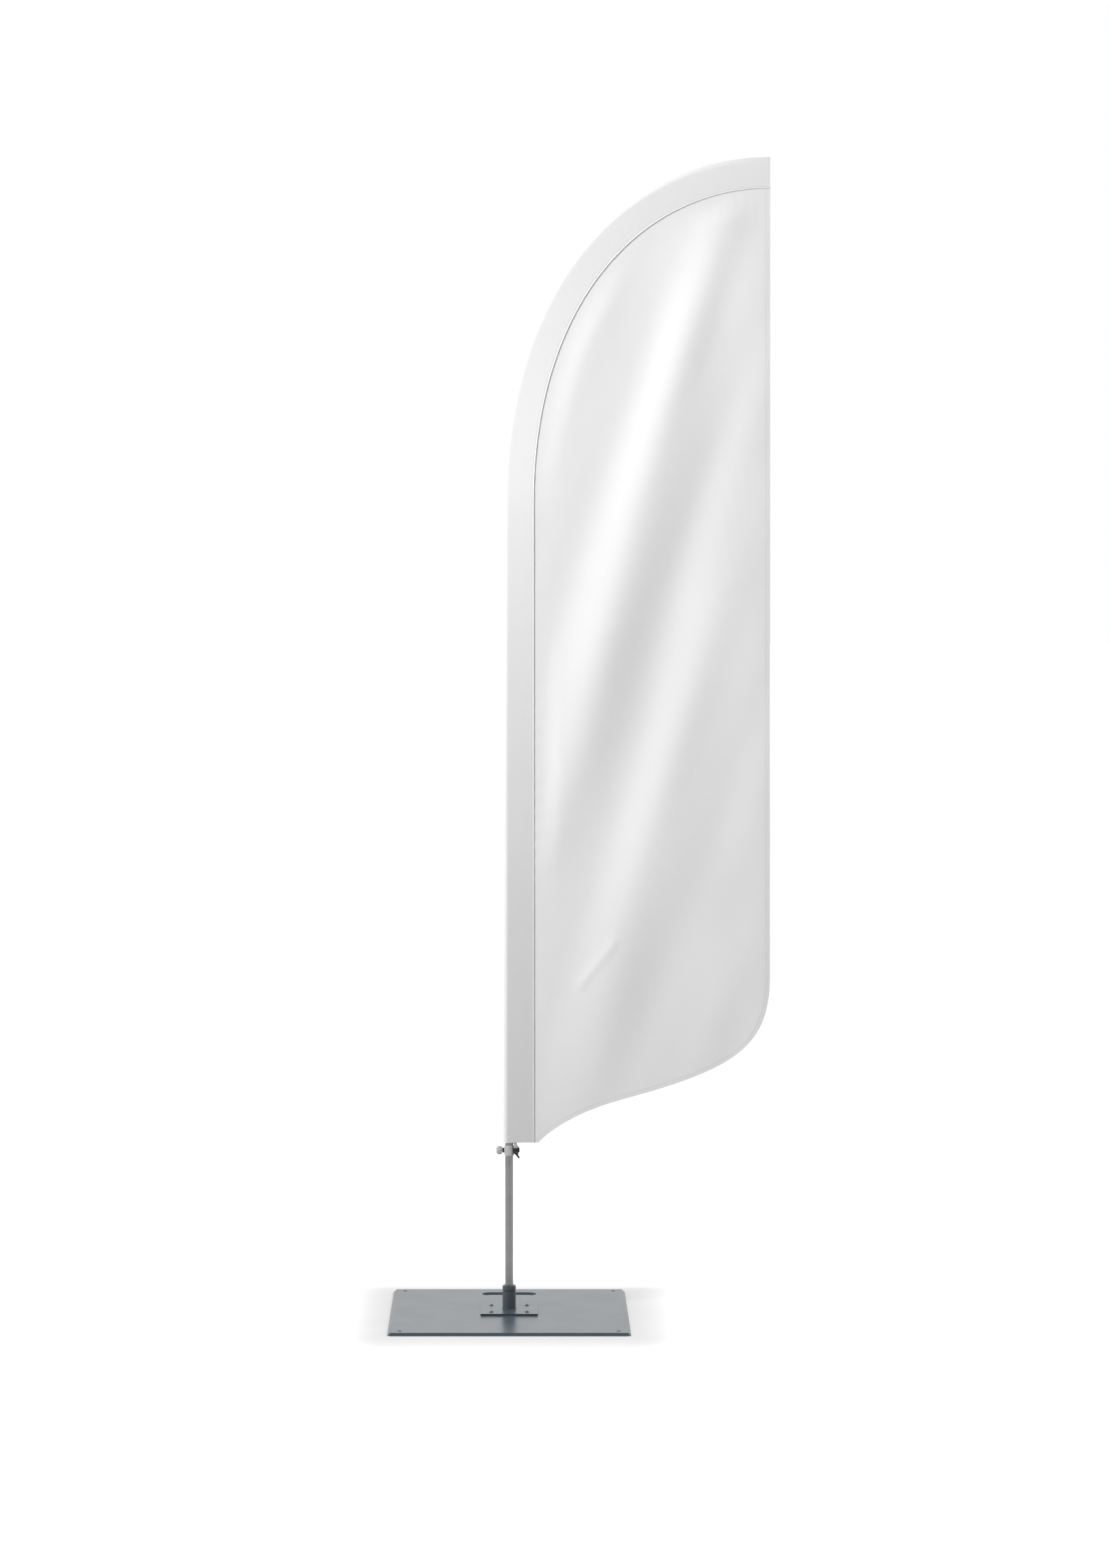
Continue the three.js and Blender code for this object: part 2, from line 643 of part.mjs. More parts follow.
// The elastic tab that pulls the flag down, sewn inside the sleeve's front wall.
function tensionElastic() {
  const bottom = HOOK_TOP + GAP;
  const top = FLAG_BOTTOM + ELASTIC.intoSleeve;
  return new THREE.BoxGeometry(ELASTIC.width, ELASTIC.thickness, top - bottom)
    .translate(PEG.x - ELASTIC.leftOfPeg, ELASTIC.y, (top + bottom) / 2);
}

function pressurePad() {
  const face = LOWER_RADIUS + 0.4;
  return alongClampAxis(rod(PAD_RADIUS, face, face + PAD_THICKNESS, 16));
}

function clampStud() {
  const start = LOWER_RADIUS + 0.4 + PAD_THICKNESS + GAP;
  return alongClampAxis(rod(STUD_RADIUS, start, KNOB_START + STUD_INTO_KNOB, 16));
}

function clampKnob() {
  const body = alongClampAxis(turned([
    [0, KNOB_START],
    [KNOB_RADIUS * 0.66, KNOB_START],
    [KNOB_RADIUS * 0.95, KNOB_START + 2],
    [KNOB_RADIUS, KNOB_START + 4],
    [KNOB_RADIUS * 0.97, KNOB_START + 7],
    [KNOB_RADIUS * 0.85, KNOB_END - 2.6],
    [KNOB_RADIUS * 0.6, KNOB_END - 0.8],
    [KNOB_RADIUS * 0.3, KNOB_END],
    [0, KNOB_END],
  ], 42));
  const flutes = [];
  for (let i = 0; i < KNOB_FLUTES; i += 1) {
    const angle = (i / KNOB_FLUTES) * 2 * Math.PI;
    const reach = KNOB_RADIUS + FLUTE_OUTSIDE;
    const flute = rod(FLUTE_RADIUS, KNOB_START - 1, KNOB_END + 1, 14);
    flute.translate(reach * Math.cos(angle), reach * Math.sin(angle), 0);
    flutes.push(alongClampAxis(flute));
  }
  const boreEnd = KNOB_START + STUD_INTO_KNOB + GAP;
  const bore = alongClampAxis(rod(STUD_RADIUS + GAP, KNOB_START - 1, boreEnd, 16));
  return combine(body, { cut: [...flutes, bore] });
}

// ---------------------------------------------------------------- assembly

const flag = new THREE.Group();

function addTo(group, ...meshes) {
  for (const mesh of meshes) group.add(mesh);
}

const base = new THREE.Group();
addTo(
  base,
  piece("base_plate", basePlate(), platePaint),
  piece("mount_plate", mountPlate(), platePaint),
  piece("spigot_housing", spigotHousing(), housingPaint),
  piece("lower_bush", lowerBush(), nylon),
  piece("upper_bush", upperBush(), nylon),
);
const corners = [
  ["front_left", -1, -1],
  ["front_right", 1, -1],
  ["rear_left", -1, 1],
  ["rear_right", 1, 1],
];
for (const [label, sx, sy] of corners) {
  const screw = piece(`mount_screw_${label}`, mountScrew(), steel);
  screw.position.set(sx * SCREW_OFFSET, sy * SCREW_OFFSET, 0);
  base.add(screw);
}

const rotor = new THREE.Group();
addTo(
  rotor,
  piece("rotor_socket", rotorSocket(), housingPaint),
  piece("thrust_washer", thrustWasher(), steel),
  piece("retaining_ring", retainingRing(), steel),
);

const pole = new THREE.Group();
const lowerBore = LOWER_RADIUS - TUBE_WALL;
addTo(
  pole,
  piece("pole_foot_plug", poleFootPlug(), blackPlastic),
  piece("pole_lower_tube", poleLowerTube(), poleMetal),
  piece("lower_ferrule", ferrule(MIDDLE_RADIUS + GAP, LOWER_RADIUS, LOWER_TOP + GAP), blackPlastic),
  piece("pole_middle_tube", poleMiddleTube(), poleMetal),
  piece("upper_ferrule", ferrule(ROD_RADIUS + GAP, lowerBore, MIDDLE_TOP + GAP), blackPlastic),
  piece("pole_tip_rod", poleTipRod(), fibreglass),
  piece("pole_tip_cap", poleTipCap(), blackPlastic),
);

const cloth = new THREE.Group();
addTo(
  cloth,
  piece("pole_sleeve", poleSleeve(), fabric),
  piece("flag_panel", flagPanel(), fabric),
  piece("tension_elastic", tensionElastic(), webbing),
);

const collar = new THREE.Group();
addTo(
  collar,
  piece("tension_collar", tensionCollar(), lightPlastic),
  piece("thread_insert", threadInsert(), brass),
  piece("hook_peg", hookPeg(), steel),
  piece("tension_hook", tensionHook(), blackPlastic),
  piece("pressure_pad", pressurePad(), brass),
  piece("clamp_stud", clampStud(), steel),
  piece("clamp_knob", clampKnob(), lightPlastic),
);

addTo(flag, base, rotor, pole, cloth, collar);

export default flag;
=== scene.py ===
"""Feather flag on a swivelling pole with a square floor plate: the visual model around the CAD frame."""
import math

import bmesh
import bpy
import numpy as np
from mathutils import Matrix, Vector


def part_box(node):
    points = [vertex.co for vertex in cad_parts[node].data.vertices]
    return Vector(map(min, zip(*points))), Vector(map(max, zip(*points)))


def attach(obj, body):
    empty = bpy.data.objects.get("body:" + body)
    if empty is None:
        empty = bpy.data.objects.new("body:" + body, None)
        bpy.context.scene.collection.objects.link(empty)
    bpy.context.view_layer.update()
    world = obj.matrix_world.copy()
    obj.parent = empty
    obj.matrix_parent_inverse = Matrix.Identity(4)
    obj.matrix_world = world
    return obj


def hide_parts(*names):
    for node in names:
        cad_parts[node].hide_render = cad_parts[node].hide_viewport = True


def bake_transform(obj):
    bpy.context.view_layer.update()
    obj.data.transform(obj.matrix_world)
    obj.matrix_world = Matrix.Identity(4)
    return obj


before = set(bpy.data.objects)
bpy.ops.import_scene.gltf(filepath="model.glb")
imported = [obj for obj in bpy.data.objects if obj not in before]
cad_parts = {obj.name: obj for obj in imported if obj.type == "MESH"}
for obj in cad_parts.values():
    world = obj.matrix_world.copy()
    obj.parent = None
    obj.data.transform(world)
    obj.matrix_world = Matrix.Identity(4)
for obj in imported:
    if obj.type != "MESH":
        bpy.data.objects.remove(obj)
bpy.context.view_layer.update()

MM = 0.001

# -------- places and sizes from the frame

SLEEVE_LOW, SLEEVE_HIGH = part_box("pole_sleeve")
PLATE_LOW, PLATE_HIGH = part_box("base_plate")
MOUNT_LOW, MOUNT_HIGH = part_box("mount_plate")
HOUSING_LOW, HOUSING_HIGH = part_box("spigot_housing")
ROTOR_LOW, ROTOR_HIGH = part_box("rotor_socket")
LOWER_LOW, LOWER_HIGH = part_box("pole_lower_tube")
COLLAR_LOW, COLLAR_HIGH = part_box("tension_collar")
KNOB_LOW, KNOB_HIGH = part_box("clamp_knob")
HOOK_LOW, HOOK_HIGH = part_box("tension_hook")
PEG_LOW, PEG_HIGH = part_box("hook_peg")

FLAG_BOTTOM = SLEEVE_LOW.z
FLAG_TOP = SLEEVE_HIGH.z
FLAG_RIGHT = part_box("flag_panel")[1].x
EDGE_TO_POLE = -SLEEVE_LOW.x
SLEEVE_WIDTH = 65 * MM
ARC_START = 1709 * MM
ARC_PULL_UP = 464 * MM
ARC_PULL_BACK = 302 * MM
HEM_START = Vector((62 * MM, FLAG_BOTTOM))
HEM_TURN = Vector((236.5 * MM, 449.5 * MM))
HEM_END = Vector((FLAG_RIGHT, 711 * MM))

# -------- camera

EYE_DISTANCE = 8.5
EYE_HEIGHT = 1.609
LENS = 92.6
SENSOR_WIDTH = 36
FARTHEST_SEEN = 200
SHIFT = (0.0289, -0.1494)


def make_camera():
    data = bpy.data.cameras.new("camera")
    data.lens = LENS
    data.sensor_width = SENSOR_WIDTH
    data.shift_x, data.shift_y = SHIFT
    data.clip_end = FARTHEST_SEEN
    camera = bpy.data.objects.new("camera", data)
    camera.location = (0, -EYE_DISTANCE, EYE_HEIGHT)
    camera.rotation_euler = (math.pi / 2, 0, 0)
    bpy.context.scene.collection.objects.link(camera)
    bpy.context.scene.camera = camera


make_camera()

# -------- node trees


class Nodes:
    """Short calls for building one node tree."""

    def __init__(self, tree):
        self.tree = tree

    def add(self, kind, inputs=None, **settings):
        node = self.tree.nodes.new(kind)
        for name, value in settings.items():
            setattr(node, name, value)
        return self.fill(node, inputs or {})

    def fill(self, node, inputs):
        for name, value in inputs.items():
            self.feed(node.inputs[name], value)
        return node

    def feed(self, target, value):
        if isinstance(value, bpy.types.NodeSocket):
            self.tree.links.new(value, target)
        elif target.type == "RGBA" and len(value) == 3:
            target.default_value = (*value, 1)
        else:
            target.default_value = value

    def place(self):
        return self.add("ShaderNodeTexCoord").outputs["Object"]

    def parts(self, vector):
        return self.add("ShaderNodeSeparateXYZ", {0: vector}).outputs

    def noise(self, where, scale, detail, roughness=0.5):
        values = {"Vector": where, "Scale": scale, "Detail": detail, "Roughness": roughness}
        return self.add("ShaderNodeTexNoise", values).outputs[0]

    def math(self, operation, a, b=0.0):
        return self.add("ShaderNodeMath", {0: a, 1: b}, operation=operation).outputs[0]

    def plus(self, base, value, by):
        """A base with a value times a number added to it."""
        return self.math("ADD", base, self.math("MULTIPLY", value, by))

    def ribs(self, value, turns):
        """Round ribs from 0 to 1 over a value times its turns."""
        return self.math("ABSOLUTE", self.math("SINE", self.math("MULTIPLY", value, turns)))

    def ramp(self, factor, low, high):
        node = self.add("ShaderNodeMapRange", {0: factor, 1: low, 2: high, 3: 0.0, 4: 1.0})
        node.interpolation_type = "SMOOTHSTEP"
        return node.outputs[0]

    def blend(self, factor, a, b):
        return self.add("ShaderNodeMix", {0: factor, 6: a, 7: b}, data_type="RGBA").outputs[2]

    def bump(self, height, depth):
        return self.add("ShaderNodeBump", {"Height": height, "Distance": depth, "Strength": 1.0}).outputs[0]


def new_group(name, kind, inputs, outputs):
    """A node group. A socket is given its value, or its kind where it has none."""
    group = bpy.data.node_groups.new(name, kind)
    sockets = [("INPUT", *item) for item in inputs.items()] + [("OUTPUT", *item) for item in outputs.items()]
    for direction, label, value in sockets:
        empty = isinstance(value, str)
        sort = "NodeSocket" + (value if empty else type(value).__name__.capitalize())
        made = group.interface.new_socket(name=label, in_out=direction, socket_type=sort)
        if not empty:
            made.default_value = value
    n = Nodes(group)
    return group, n, n.add("NodeGroupInput").outputs, n.add("NodeGroupOutput")


def shader_group(name, inputs, *outputs):
    return new_group(name, "ShaderNodeTree", inputs, dict.fromkeys(outputs, "Float"))


def surface_grain_group():
    """Fine moulded or sprayed grain: a height for Bump, and a slow variation for colour and roughness."""
    sizes = {"Grain Size": 0.6, "Patch Size": 60.0}
    group, n, into, out = shader_group("surface_grain", sizes, "Height", "Patches")
    where = n.place()
    grain = n.noise(where, n.math("DIVIDE", 1000.0, into["Grain Size"]), 3.0, 0.6)
    patch = n.noise(where, n.math("DIVIDE", 1000.0, into["Patch Size"]), 4.0, 0.55)
    n.fill(out, {"Height": grain, "Patches": n.ramp(patch, 0.35, 0.65)})
    return group


def scuff_group():
    """Thin crossing scratches and dust, as two masks."""
    group, n, into, out = shader_group("scuffs", {"Length": 60.0, "Amount": 0.5}, "Scratches", "Dust")
    where = n.place()
    scale = n.math("DIVIDE", 1000.0, into["Length"])
    masks = []
    for turn in (0.5, 2.1):
        drawn = n.add("ShaderNodeMapping", {"Vector": where, "Rotation": (0, 0, turn), "Scale": (1, 16, 16)})
        masks.append(n.ramp(n.noise(drawn.outputs[0], scale, 2.0), 0.70, 0.76))
    dust = n.ramp(n.noise(where, n.math("MULTIPLY", scale, 0.7), 8.0), 0.45, 0.75)
    n.fill(out, {
        "Scratches": n.math("MULTIPLY", n.math("MAXIMUM", *masks), into["Amount"]),
        "Dust": n.math("MULTIPLY", dust, into["Amount"]),
    })
    return group


def knit_group():
    """Warp-knitted flag cloth on the piece's UV map, in metres: wales with slanted loops, and tiny gaps that
    are darkened as painted shade.
    """
    group, n, into, out = shader_group("knit", {"Pitch": 0.9}, "Height", "Gaps")
    parts = n.parts(n.add("ShaderNodeUVMap", uv_map="UVMap").outputs[0])
    turns = n.math("DIVIDE", 2000 * math.pi, into["Pitch"])
    wale = n.ribs(n.math("MULTIPLY", parts[0], turns), 0.5)
    slant = n.math("SINE", n.plus(n.math("MULTIPLY", parts[1], turns), wale, 2.2))
    height = n.plus(n.math("MULTIPLY", wale, 0.6), slant, 0.4)
    n.fill(out, {"Height": height, "Gaps": n.ramp(height, -0.1, -0.38)})
    return group


GRAIN = surface_grain_group()
SCUFFS = scuff_group()
KNIT = knit_group()

# -------- materials

DUST = (0.6, 0.59, 0.57)
CLOTH_SOIL = (0.72, 0.72, 0.71)
LIGHT_THROUGH_CLOTH = 0.06


def new_material(name):
    material = bpy.data.materials.new(name)
    material.use_nodes = True
    material.node_tree.nodes.clear()
    n = Nodes(material.node_tree)
    shader = n.add("ShaderNodeBsdfPrincipled")
    out = n.add("ShaderNodeOutputMaterial", {0: shader.outputs[0]})
    return material, n, shader, out


def place_group(n, group, values):
    return n.add("ShaderNodeGroup", values, node_tree=group).outputs


def times(colour, by):
    return tuple(c * by for c in colour)


def powder_coat(name, colour, roughness, wear=0.5):
    """Sprayed powder paint: orange-peel grain, faint patches, scratches and dust."""
    material, n, shader, _ = new_material(name)
    grain = place_group(n, GRAIN, {"Grain Size": 1.1, "Patch Size": 90.0})
    scuffs = place_group(n, SCUFFS, {"Length": 70.0, "Amount": wear})
    paint = n.blend(grain["Patches"], colour, times(colour, 0.95))
    scratch = tuple(c * 1.6 + 0.02 for c in colour)
    scratched = n.blend(n.math("MULTIPLY", scuffs["Scratches"], 0.5), paint, scratch)
    n.fill(shader, {
        "Base Color": n.blend(n.math("MULTIPLY", scuffs["Dust"], 0.05), scratched, DUST),
        "Roughness": n.plus(n.plus(roughness, scuffs["Dust"], 0.025), grain["Patches"], 0.015),
        "Normal": n.bump(grain["Height"], 0.05 * MM),
    })
    return material


def moulded_plastic(name, colour, roughness, grain_size=0.5):
    material, n, shader, _ = new_material(name)
    grain = place_group(n, GRAIN, {"Grain Size": grain_size, "Patch Size": 8.0})
    n.fill(shader, {
        "Base Color": n.blend(grain["Patches"], colour, times(colour, 0.88)),
        "Roughness": n.plus(roughness, grain["Patches"], 0.08),
        "Normal": n.bump(grain["Height"], 0.03 * MM),
    })
    return material


def drawn_metal(name, colour, roughness):
    """Metal with fine streaks along the way that it was drawn or turned."""
    material, n, shader, _ = new_material(name)
    stretched = n.add("ShaderNodeMapping", {"Vector": n.place(), "Scale": (1, 1, 0.02)}).outputs[0]
    streaks = n.noise(stretched, 1000 / 0.7, 3.0)
    patches = place_group(n, GRAIN, {"Grain Size": 0.4, "Patch Size": 40.0})["Patches"]
    n.fill(shader, {
        "Base Color": n.blend(patches, colour, times(colour, 0.9)),
        "Metallic": 1.0,
        "Roughness": n.plus(roughness - 0.06, streaks, 0.14),
        "Normal": n.bump(streaks, 0.008 * MM),
    })
    return material


def flag_cloth(name, colour):
    """White knitted polyester that lets some light through."""
    material, n, shader, out = new_material(name)
    knit = place_group(n, KNIT, {"Pitch": 0.9})
    # The knit's gaps, where its height is lowest, are darkened: painted shade in them.
    shade = n.blend(n.math("MULTIPLY", knit["Gaps"], 0.35), colour, times(colour, 0.55))
    patches = place_group(n, GRAIN, {"Grain Size": 0.5, "Patch Size": 240.0})["Patches"]
    shade = n.blend(n.math("MULTIPLY", patches, 0.03), shade, CLOTH_SOIL)
    normal = n.bump(knit["Height"], 0.12 * MM)
    n.fill(shader, {
        "Base Color": shade,
        "Roughness": 0.85,
        "Specular IOR Level": 0.25,
        "Sheen Weight": 0.15,
        "Sheen Roughness": 0.5,
        "Normal": normal,
    })
    through = n.add("ShaderNodeBsdfTranslucent", {"Color": shade, "Normal": normal}).outputs[0]
    shares = {0: LIGHT_THROUGH_CLOTH, 1: shader.outputs[0], 2: through}
    n.fill(out, {0: n.add("ShaderNodeMixShader", shares).outputs[0]})
    return material


def woven_elastic(name, colour):
    """Narrow woven elastic: ribs across and fine cords along, on Object coordinates. It is darker in the dips
    between them: painted shade there.
    """
    material, n, shader, _ = new_material(name)
    parts = n.parts(n.place())
    cords = n.ribs(parts[0], math.pi / (0.7 * MM))
    picks = n.ribs(parts[2], math.pi / (0.45 * MM))
    height = n.plus(n.math("MULTIPLY", cords, 0.6), picks, 0.4)
    n.fill(shader, {
        # Darker where the height is low: painted shade in the dips, on top of the bump.
        "Base Color": n.blend(height, times(colour, 0.55), colour),
        "Roughness": 0.8,
        "Normal": n.bump(height, 0.15 * MM),
    })
    return material


def sewing_thread(name, colour):
    material, n, shader, _ = new_material(name)
    wave = {"Vector": n.place(), "Scale": 900.0, "Distortion": 1.0}
    twist = n.add("ShaderNodeTexWave", wave).outputs[1]
    n.fill(shader, {
        # Darker in the twist's grooves: painted shade there, on top of the bump.
        "Base Color": n.blend(twist, times(colour, 0.8), colour),
        "Roughness": 0.6,
        "Normal": n.bump(twist, 0.04 * MM),
    })
    return material


PLATE_PAINT = powder_coat("plate_powder_coat", (0.056, 0.078, 0.094), 0.30)
HOUSING_PAINT = powder_coat("housing_powder_coat", (0.072, 0.086, 0.094), 0.30, wear=0.3)
ZINC = drawn_metal("zinc_plated_steel", (0.34, 0.34, 0.35), 0.36)
BRASS = drawn_metal("machined_brass", (0.60, 0.45, 0.20), 0.32)
ALUMINIUM = drawn_metal("satin_aluminium", (0.36, 0.36, 0.365), 0.26)
DARK_STEEL = drawn_metal("blackened_steel", (0.10, 0.10, 0.105), 0.38)
FIBREGLASS = moulded_plastic("fibreglass_resin", (0.60, 0.61, 0.57), 0.35, grain_size=1.5)
LIGHT_PLASTIC = moulded_plastic("light_grey_plastic", (0.50, 0.50, 0.50), 0.42)
BLACK_PLASTIC = moulded_plastic("black_plastic", (0.022, 0.022, 0.024), 0.4)
# The bush is near black: its own colour, and also painted shade that makes the groove between the housing and
# its cap show as a dark line.
NYLON = moulded_plastic("dark_nylon", (0.05, 0.05, 0.052), 0.45)
CLOTH = flag_cloth("white_flag_cloth", (0.86, 0.86, 0.865))
ELASTIC = woven_elastic("grey_elastic", (0.48, 0.48, 0.49))
THREAD = sewing_thread("white_thread", (0.80, 0.80, 0.81))

# -------- mesh helpers


def link(data, name, material=None):
    piece = bpy.data.objects.new(name, data)
    bpy.context.scene.collection.objects.link(piece)
    if material is not None:
        data.materials.append(material)
    return piece


def mesh_from(name, vertices, faces, material):
    mesh = bpy.data.meshes.new(name)
    mesh.from_pydata([tuple(v) for v in vertices], [], faces)
    mesh.validate()
    return link(mesh, name, material)


def outward(piece):
    """Points a closed mesh's faces outwards, with its doubles merged first."""
    bm = bmesh.new()
    bm.from_mesh(piece.data)
    bmesh.ops.remove_doubles(bm, verts=bm.verts, dist=1e-7)
    bmesh.ops.recalc_face_normals(bm, faces=bm.faces)
    bm.to_mesh(piece.data)
    bm.free()
    return piece


def evaluated_mesh(piece):
    bpy.context.view_layer.update()
    evaluated = piece.evaluated_get(bpy.context.evaluated_depsgraph_get())
    return bpy.data.meshes.new_from_object(evaluated)


def bake(piece):
    """Turns the piece's modifiers into a plain mesh."""
    mesh = evaluated_mesh(piece)
    piece.modifiers.clear()
    piece.data = mesh
    return mesh


def modify(piece, name, kind, **settings):
    """Adds a modifier with its settings."""
    modifier = piece.modifiers.new(name, kind)
    for setting, value in settings.items():
        setattr(modifier, setting, value)
    return modifier


def settle(piece, sharp_degrees=35):
    """Bakes the piece and shades it smooth between its sharp edges, with its flat faces kept flat."""
    mesh = bake(piece)
    mesh.shade_smooth()
    mesh.set_sharp_from_angle(angle=math.radians(sharp_degrees))
    modify(piece, "flat_faces", "WEIGHTED_NORMAL", keep_sharp=True)
    bake(piece)
    return piece


def mould(piece, grid=0.32 * MM, rounds=7):
    """Gives a solid the soft edges of a moulding: an even skin, then a little smoothing."""
    modify(piece, "skin", "REMESH", mode="VOXEL", voxel_size=grid)
    modify(piece, "soften", "SMOOTH", factor=0.5, iterations=rounds)
    bake(piece).shade_smooth()
    return piece


def round_edges(piece, width, segments, angle):
    modify(piece, "round_edges", "BEVEL", width=width, segments=segments, limit_method="ANGLE",
           angle_limit=math.radians(angle), miter_outer="MITER_ARC")


def cut_with(piece, cutter, operation="DIFFERENCE"):
    modify(piece, "cut", "BOOLEAN", operation=operation, solver="EXACT", object=cutter)
    bake(piece)
    bpy.data.objects.remove(cutter)
    return piece


def join_with(piece, other):
    return cut_with(piece, other, "UNION")


def turned(name, profile, material, steps=96, frame_of=Matrix.Identity(4)):
    """A piece turned about +Z from a closed profile of (radius, height), placed by frame_of."""
    vertices = []
    faces = []
    count = len(profile)
    for i in range(steps):
        angle = 2 * math.pi * i / steps
        for radius, height in profile:
            vertices.append(frame_of @ Vector((radius * math.cos(angle), radius * math.sin(angle), height)))
        following = (i + 1) % steps
        for j in range(count):
            k = (j + 1) % count
            if max(profile[j][0], profile[k][0]) > 1e-9:
                faces.append((i * count + j, following * count + j, following * count + k, i * count + k))
    return outward(mesh_from(name, vertices, faces, material))


def rod(frame_of, radius, start, end, name="cutter", steps=64):
    """A plain rod along a frame's axis, its sizes in millimetres."""
    profile = [(0, start * MM), (radius * MM, start * MM), (radius * MM, end * MM), (0, end * MM)]
    return turned(name, profile, None, steps, frame_of)


def rounded_profile(corners):
    """A closed profile in metres from corners of (radius, height, rounding) in millimetres."""
    points = []
    count = len(corners)
    for i, (radius, height, rounding) in enumerate(corners):
        here = Vector((radius, height))
        if rounding == 0:
            points.append(here)
            continue
        before = Vector(corners[i - 1][:2]) - here
        after = Vector(corners[(i + 1) % count][:2]) - here
        start = here + before.normalized() * rounding
        end = here + after.normalized() * rounding
        for k in range(7):
            t = k / 6
            points.append(start * (1 - t) ** 2 + here * 2 * t * (1 - t) + end * t * t)
    return [(p.x * MM, p.y * MM) for p in points]


def turning(name, corners, material, steps, frame_of=Matrix.Identity(4)):
    """A finished turned piece from its rounded profile's corners."""
    return settle(turned(name, rounded_profile(corners), material, steps, frame_of))


def quads(rows, columns, closed=False):
    """Faces between neighbouring rows of points, where a closed row ends at its start."""
    faces = []
    for i in range(rows - 1):
        for j in range(columns if closed else columns - 1):
            a = i * columns + j
            b = i * columns + (j + 1) % columns
            faces.append((a, b, b + columns, a + columns))
    return faces


def skinned(name, rings, material=None):
    """A closed solid over rings of points."""
    count = len(rings[0])
    top = (len(rings) - 1) * count
    faces = [tuple(range(count)), tuple(range(top, top + count))] + quads(len(rings), count, closed=True)
    return outward(mesh_from(name, [point for ring in rings for point in ring], faces, material))


def prism(outline, low, high, name="cutter", material=None):
    """A flat outline thickened along Z."""
    return skinned(name, [[(x, y, end) for x, y in outline] for end in (low, high)], material)


def upright(outline, low, high, name="cutter", material=None):
    """A flat outline in x and z, thickened along Y."""
    return skinned(name, [[(x, end, z) for x, z in outline] for end in (low, high)], material)


def arc_points(centre, radius, start, end, steps=12):
    """Points on an arc, with its angles in degrees."""
    points = []
    for i in range(steps + 1):
        angle = math.radians(start + (end - start) * i / steps)
        points.append((centre[0] + radius * math.cos(angle), centre[1] + radius * math.sin(angle)))
    return points


def rounded_box(centre, width, height, radius, steps=10):
    points = []
    for quarter, (right, up) in enumerate(((1, 1), (-1, 1), (-1, -1), (1, -1))):
        corner = (centre[0] + right * (width / 2 - radius), centre[1] + up * (height / 2 - radius))
        points += arc_points(corner, radius, 90 * quarter, 90 * quarter + 90, steps)
    return points


def finish(piece, body, slot, *nodes):
    """Rides the piece on its body and hides the CAD nodes that it stands for. Its slot is not used."""
    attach(piece, body)
    if nodes:
        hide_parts(*nodes)
    return piece


# -------- geometry trees


def piece_tree(name, inputs):
    """A Geometry Nodes tree that also takes a geometry and a material."""
    inputs = {"Geometry": "Geometry", **inputs, "Material": "Material"}
    return new_group(name, "GeometryNodeTree", inputs, {"Geometry": "Geometry"})


def set_copies(n, into, out, points, copied, placing):
    """Ends a tree: copies on points, made real, in the tree's material."""
    placed = n.add("GeometryNodeInstanceOnPoints", {"Points": points, "Instance": copied, **placing})
    real = n.add("GeometryNodeRealizeInstances", {0: placed.outputs[0]})
    coloured = n.add("GeometryNodeSetMaterial", {"Geometry": real.outputs[0], "Material": into["Material"]})
    n.fill(out, {"Geometry": coloured.outputs[0]})


def grown(name, tree, values, curve=None):
    """A plain mesh piece from a tree, on a curve where it has one, with the tree's inputs set by name."""
    carrier = link(curve or bpy.data.meshes.new(name + "_start"), name + "_carrier")
    modifier = modify(carrier, "grown", "NODES", node_group=tree)
    for item in tree.interface.items_tree:
        if item.in_out == "INPUT" and item.name in values:
            modifier[item.identifier] = values[item.name]
    mesh = evaluated_mesh(carrier)
    mesh.name = name
    bpy.data.objects.remove(carrier)
    return link(mesh, name)


def stitch_tree():
    """Geometry Nodes: short thread stitches along a curve, lying along it."""
    sizes = {"Pitch": 3.2 * MM, "Stitch Length": 2.5 * MM, "Thread Radius": 0.22 * MM}
    tree, n, into, out = piece_tree("stitches", sizes)
    spread = {"Curve": into["Geometry"], "Length": into["Pitch"]}
    points = n.add("GeometryNodeCurveToPoints", spread, mode="LENGTH").outputs
    thread = {"Vertices": 6, "Radius": into["Thread Radius"], "Depth": into["Stitch Length"]}
    stitch = n.add("GeometryNodeMeshCylinder", thread).outputs["Mesh"]
    turn = n.add("FunctionNodeAlignRotationToVector", {"Vector": points["Tangent"]}, axis="Z")
    set_copies(n, into, out, points["Points"], stitch, {"Rotation": turn.outputs[0]})
    return tree


def corner_tree():
    """Geometry Nodes: one object set at the corners of a square, each turned at random about its axis."""
    tree, n, into, out = piece_tree("at_square_corners", {"Piece": "Object", "Spacing": 75 * MM, "Seed": 4})
    spacing = into["Spacing"]
    square = {"Vertices X": 2, "Vertices Y": 2, "Size X": spacing, "Size Y": spacing}
    corners = n.add("GeometryNodeMeshGrid", square).outputs["Mesh"]
    copied = n.add("GeometryNodeObjectInfo", {"Object": into["Piece"]}).outputs["Geometry"]
    turn = n.add("FunctionNodeRandomValue", {3: math.tau, "Seed": into["Seed"]}, data_type="FLOAT")
    rotation = n.add("ShaderNodeCombineXYZ", {"Z": turn.outputs[1]}).outputs[0]
    set_copies(n, into, out, corners, copied, {"Rotation": rotation})
    return tree


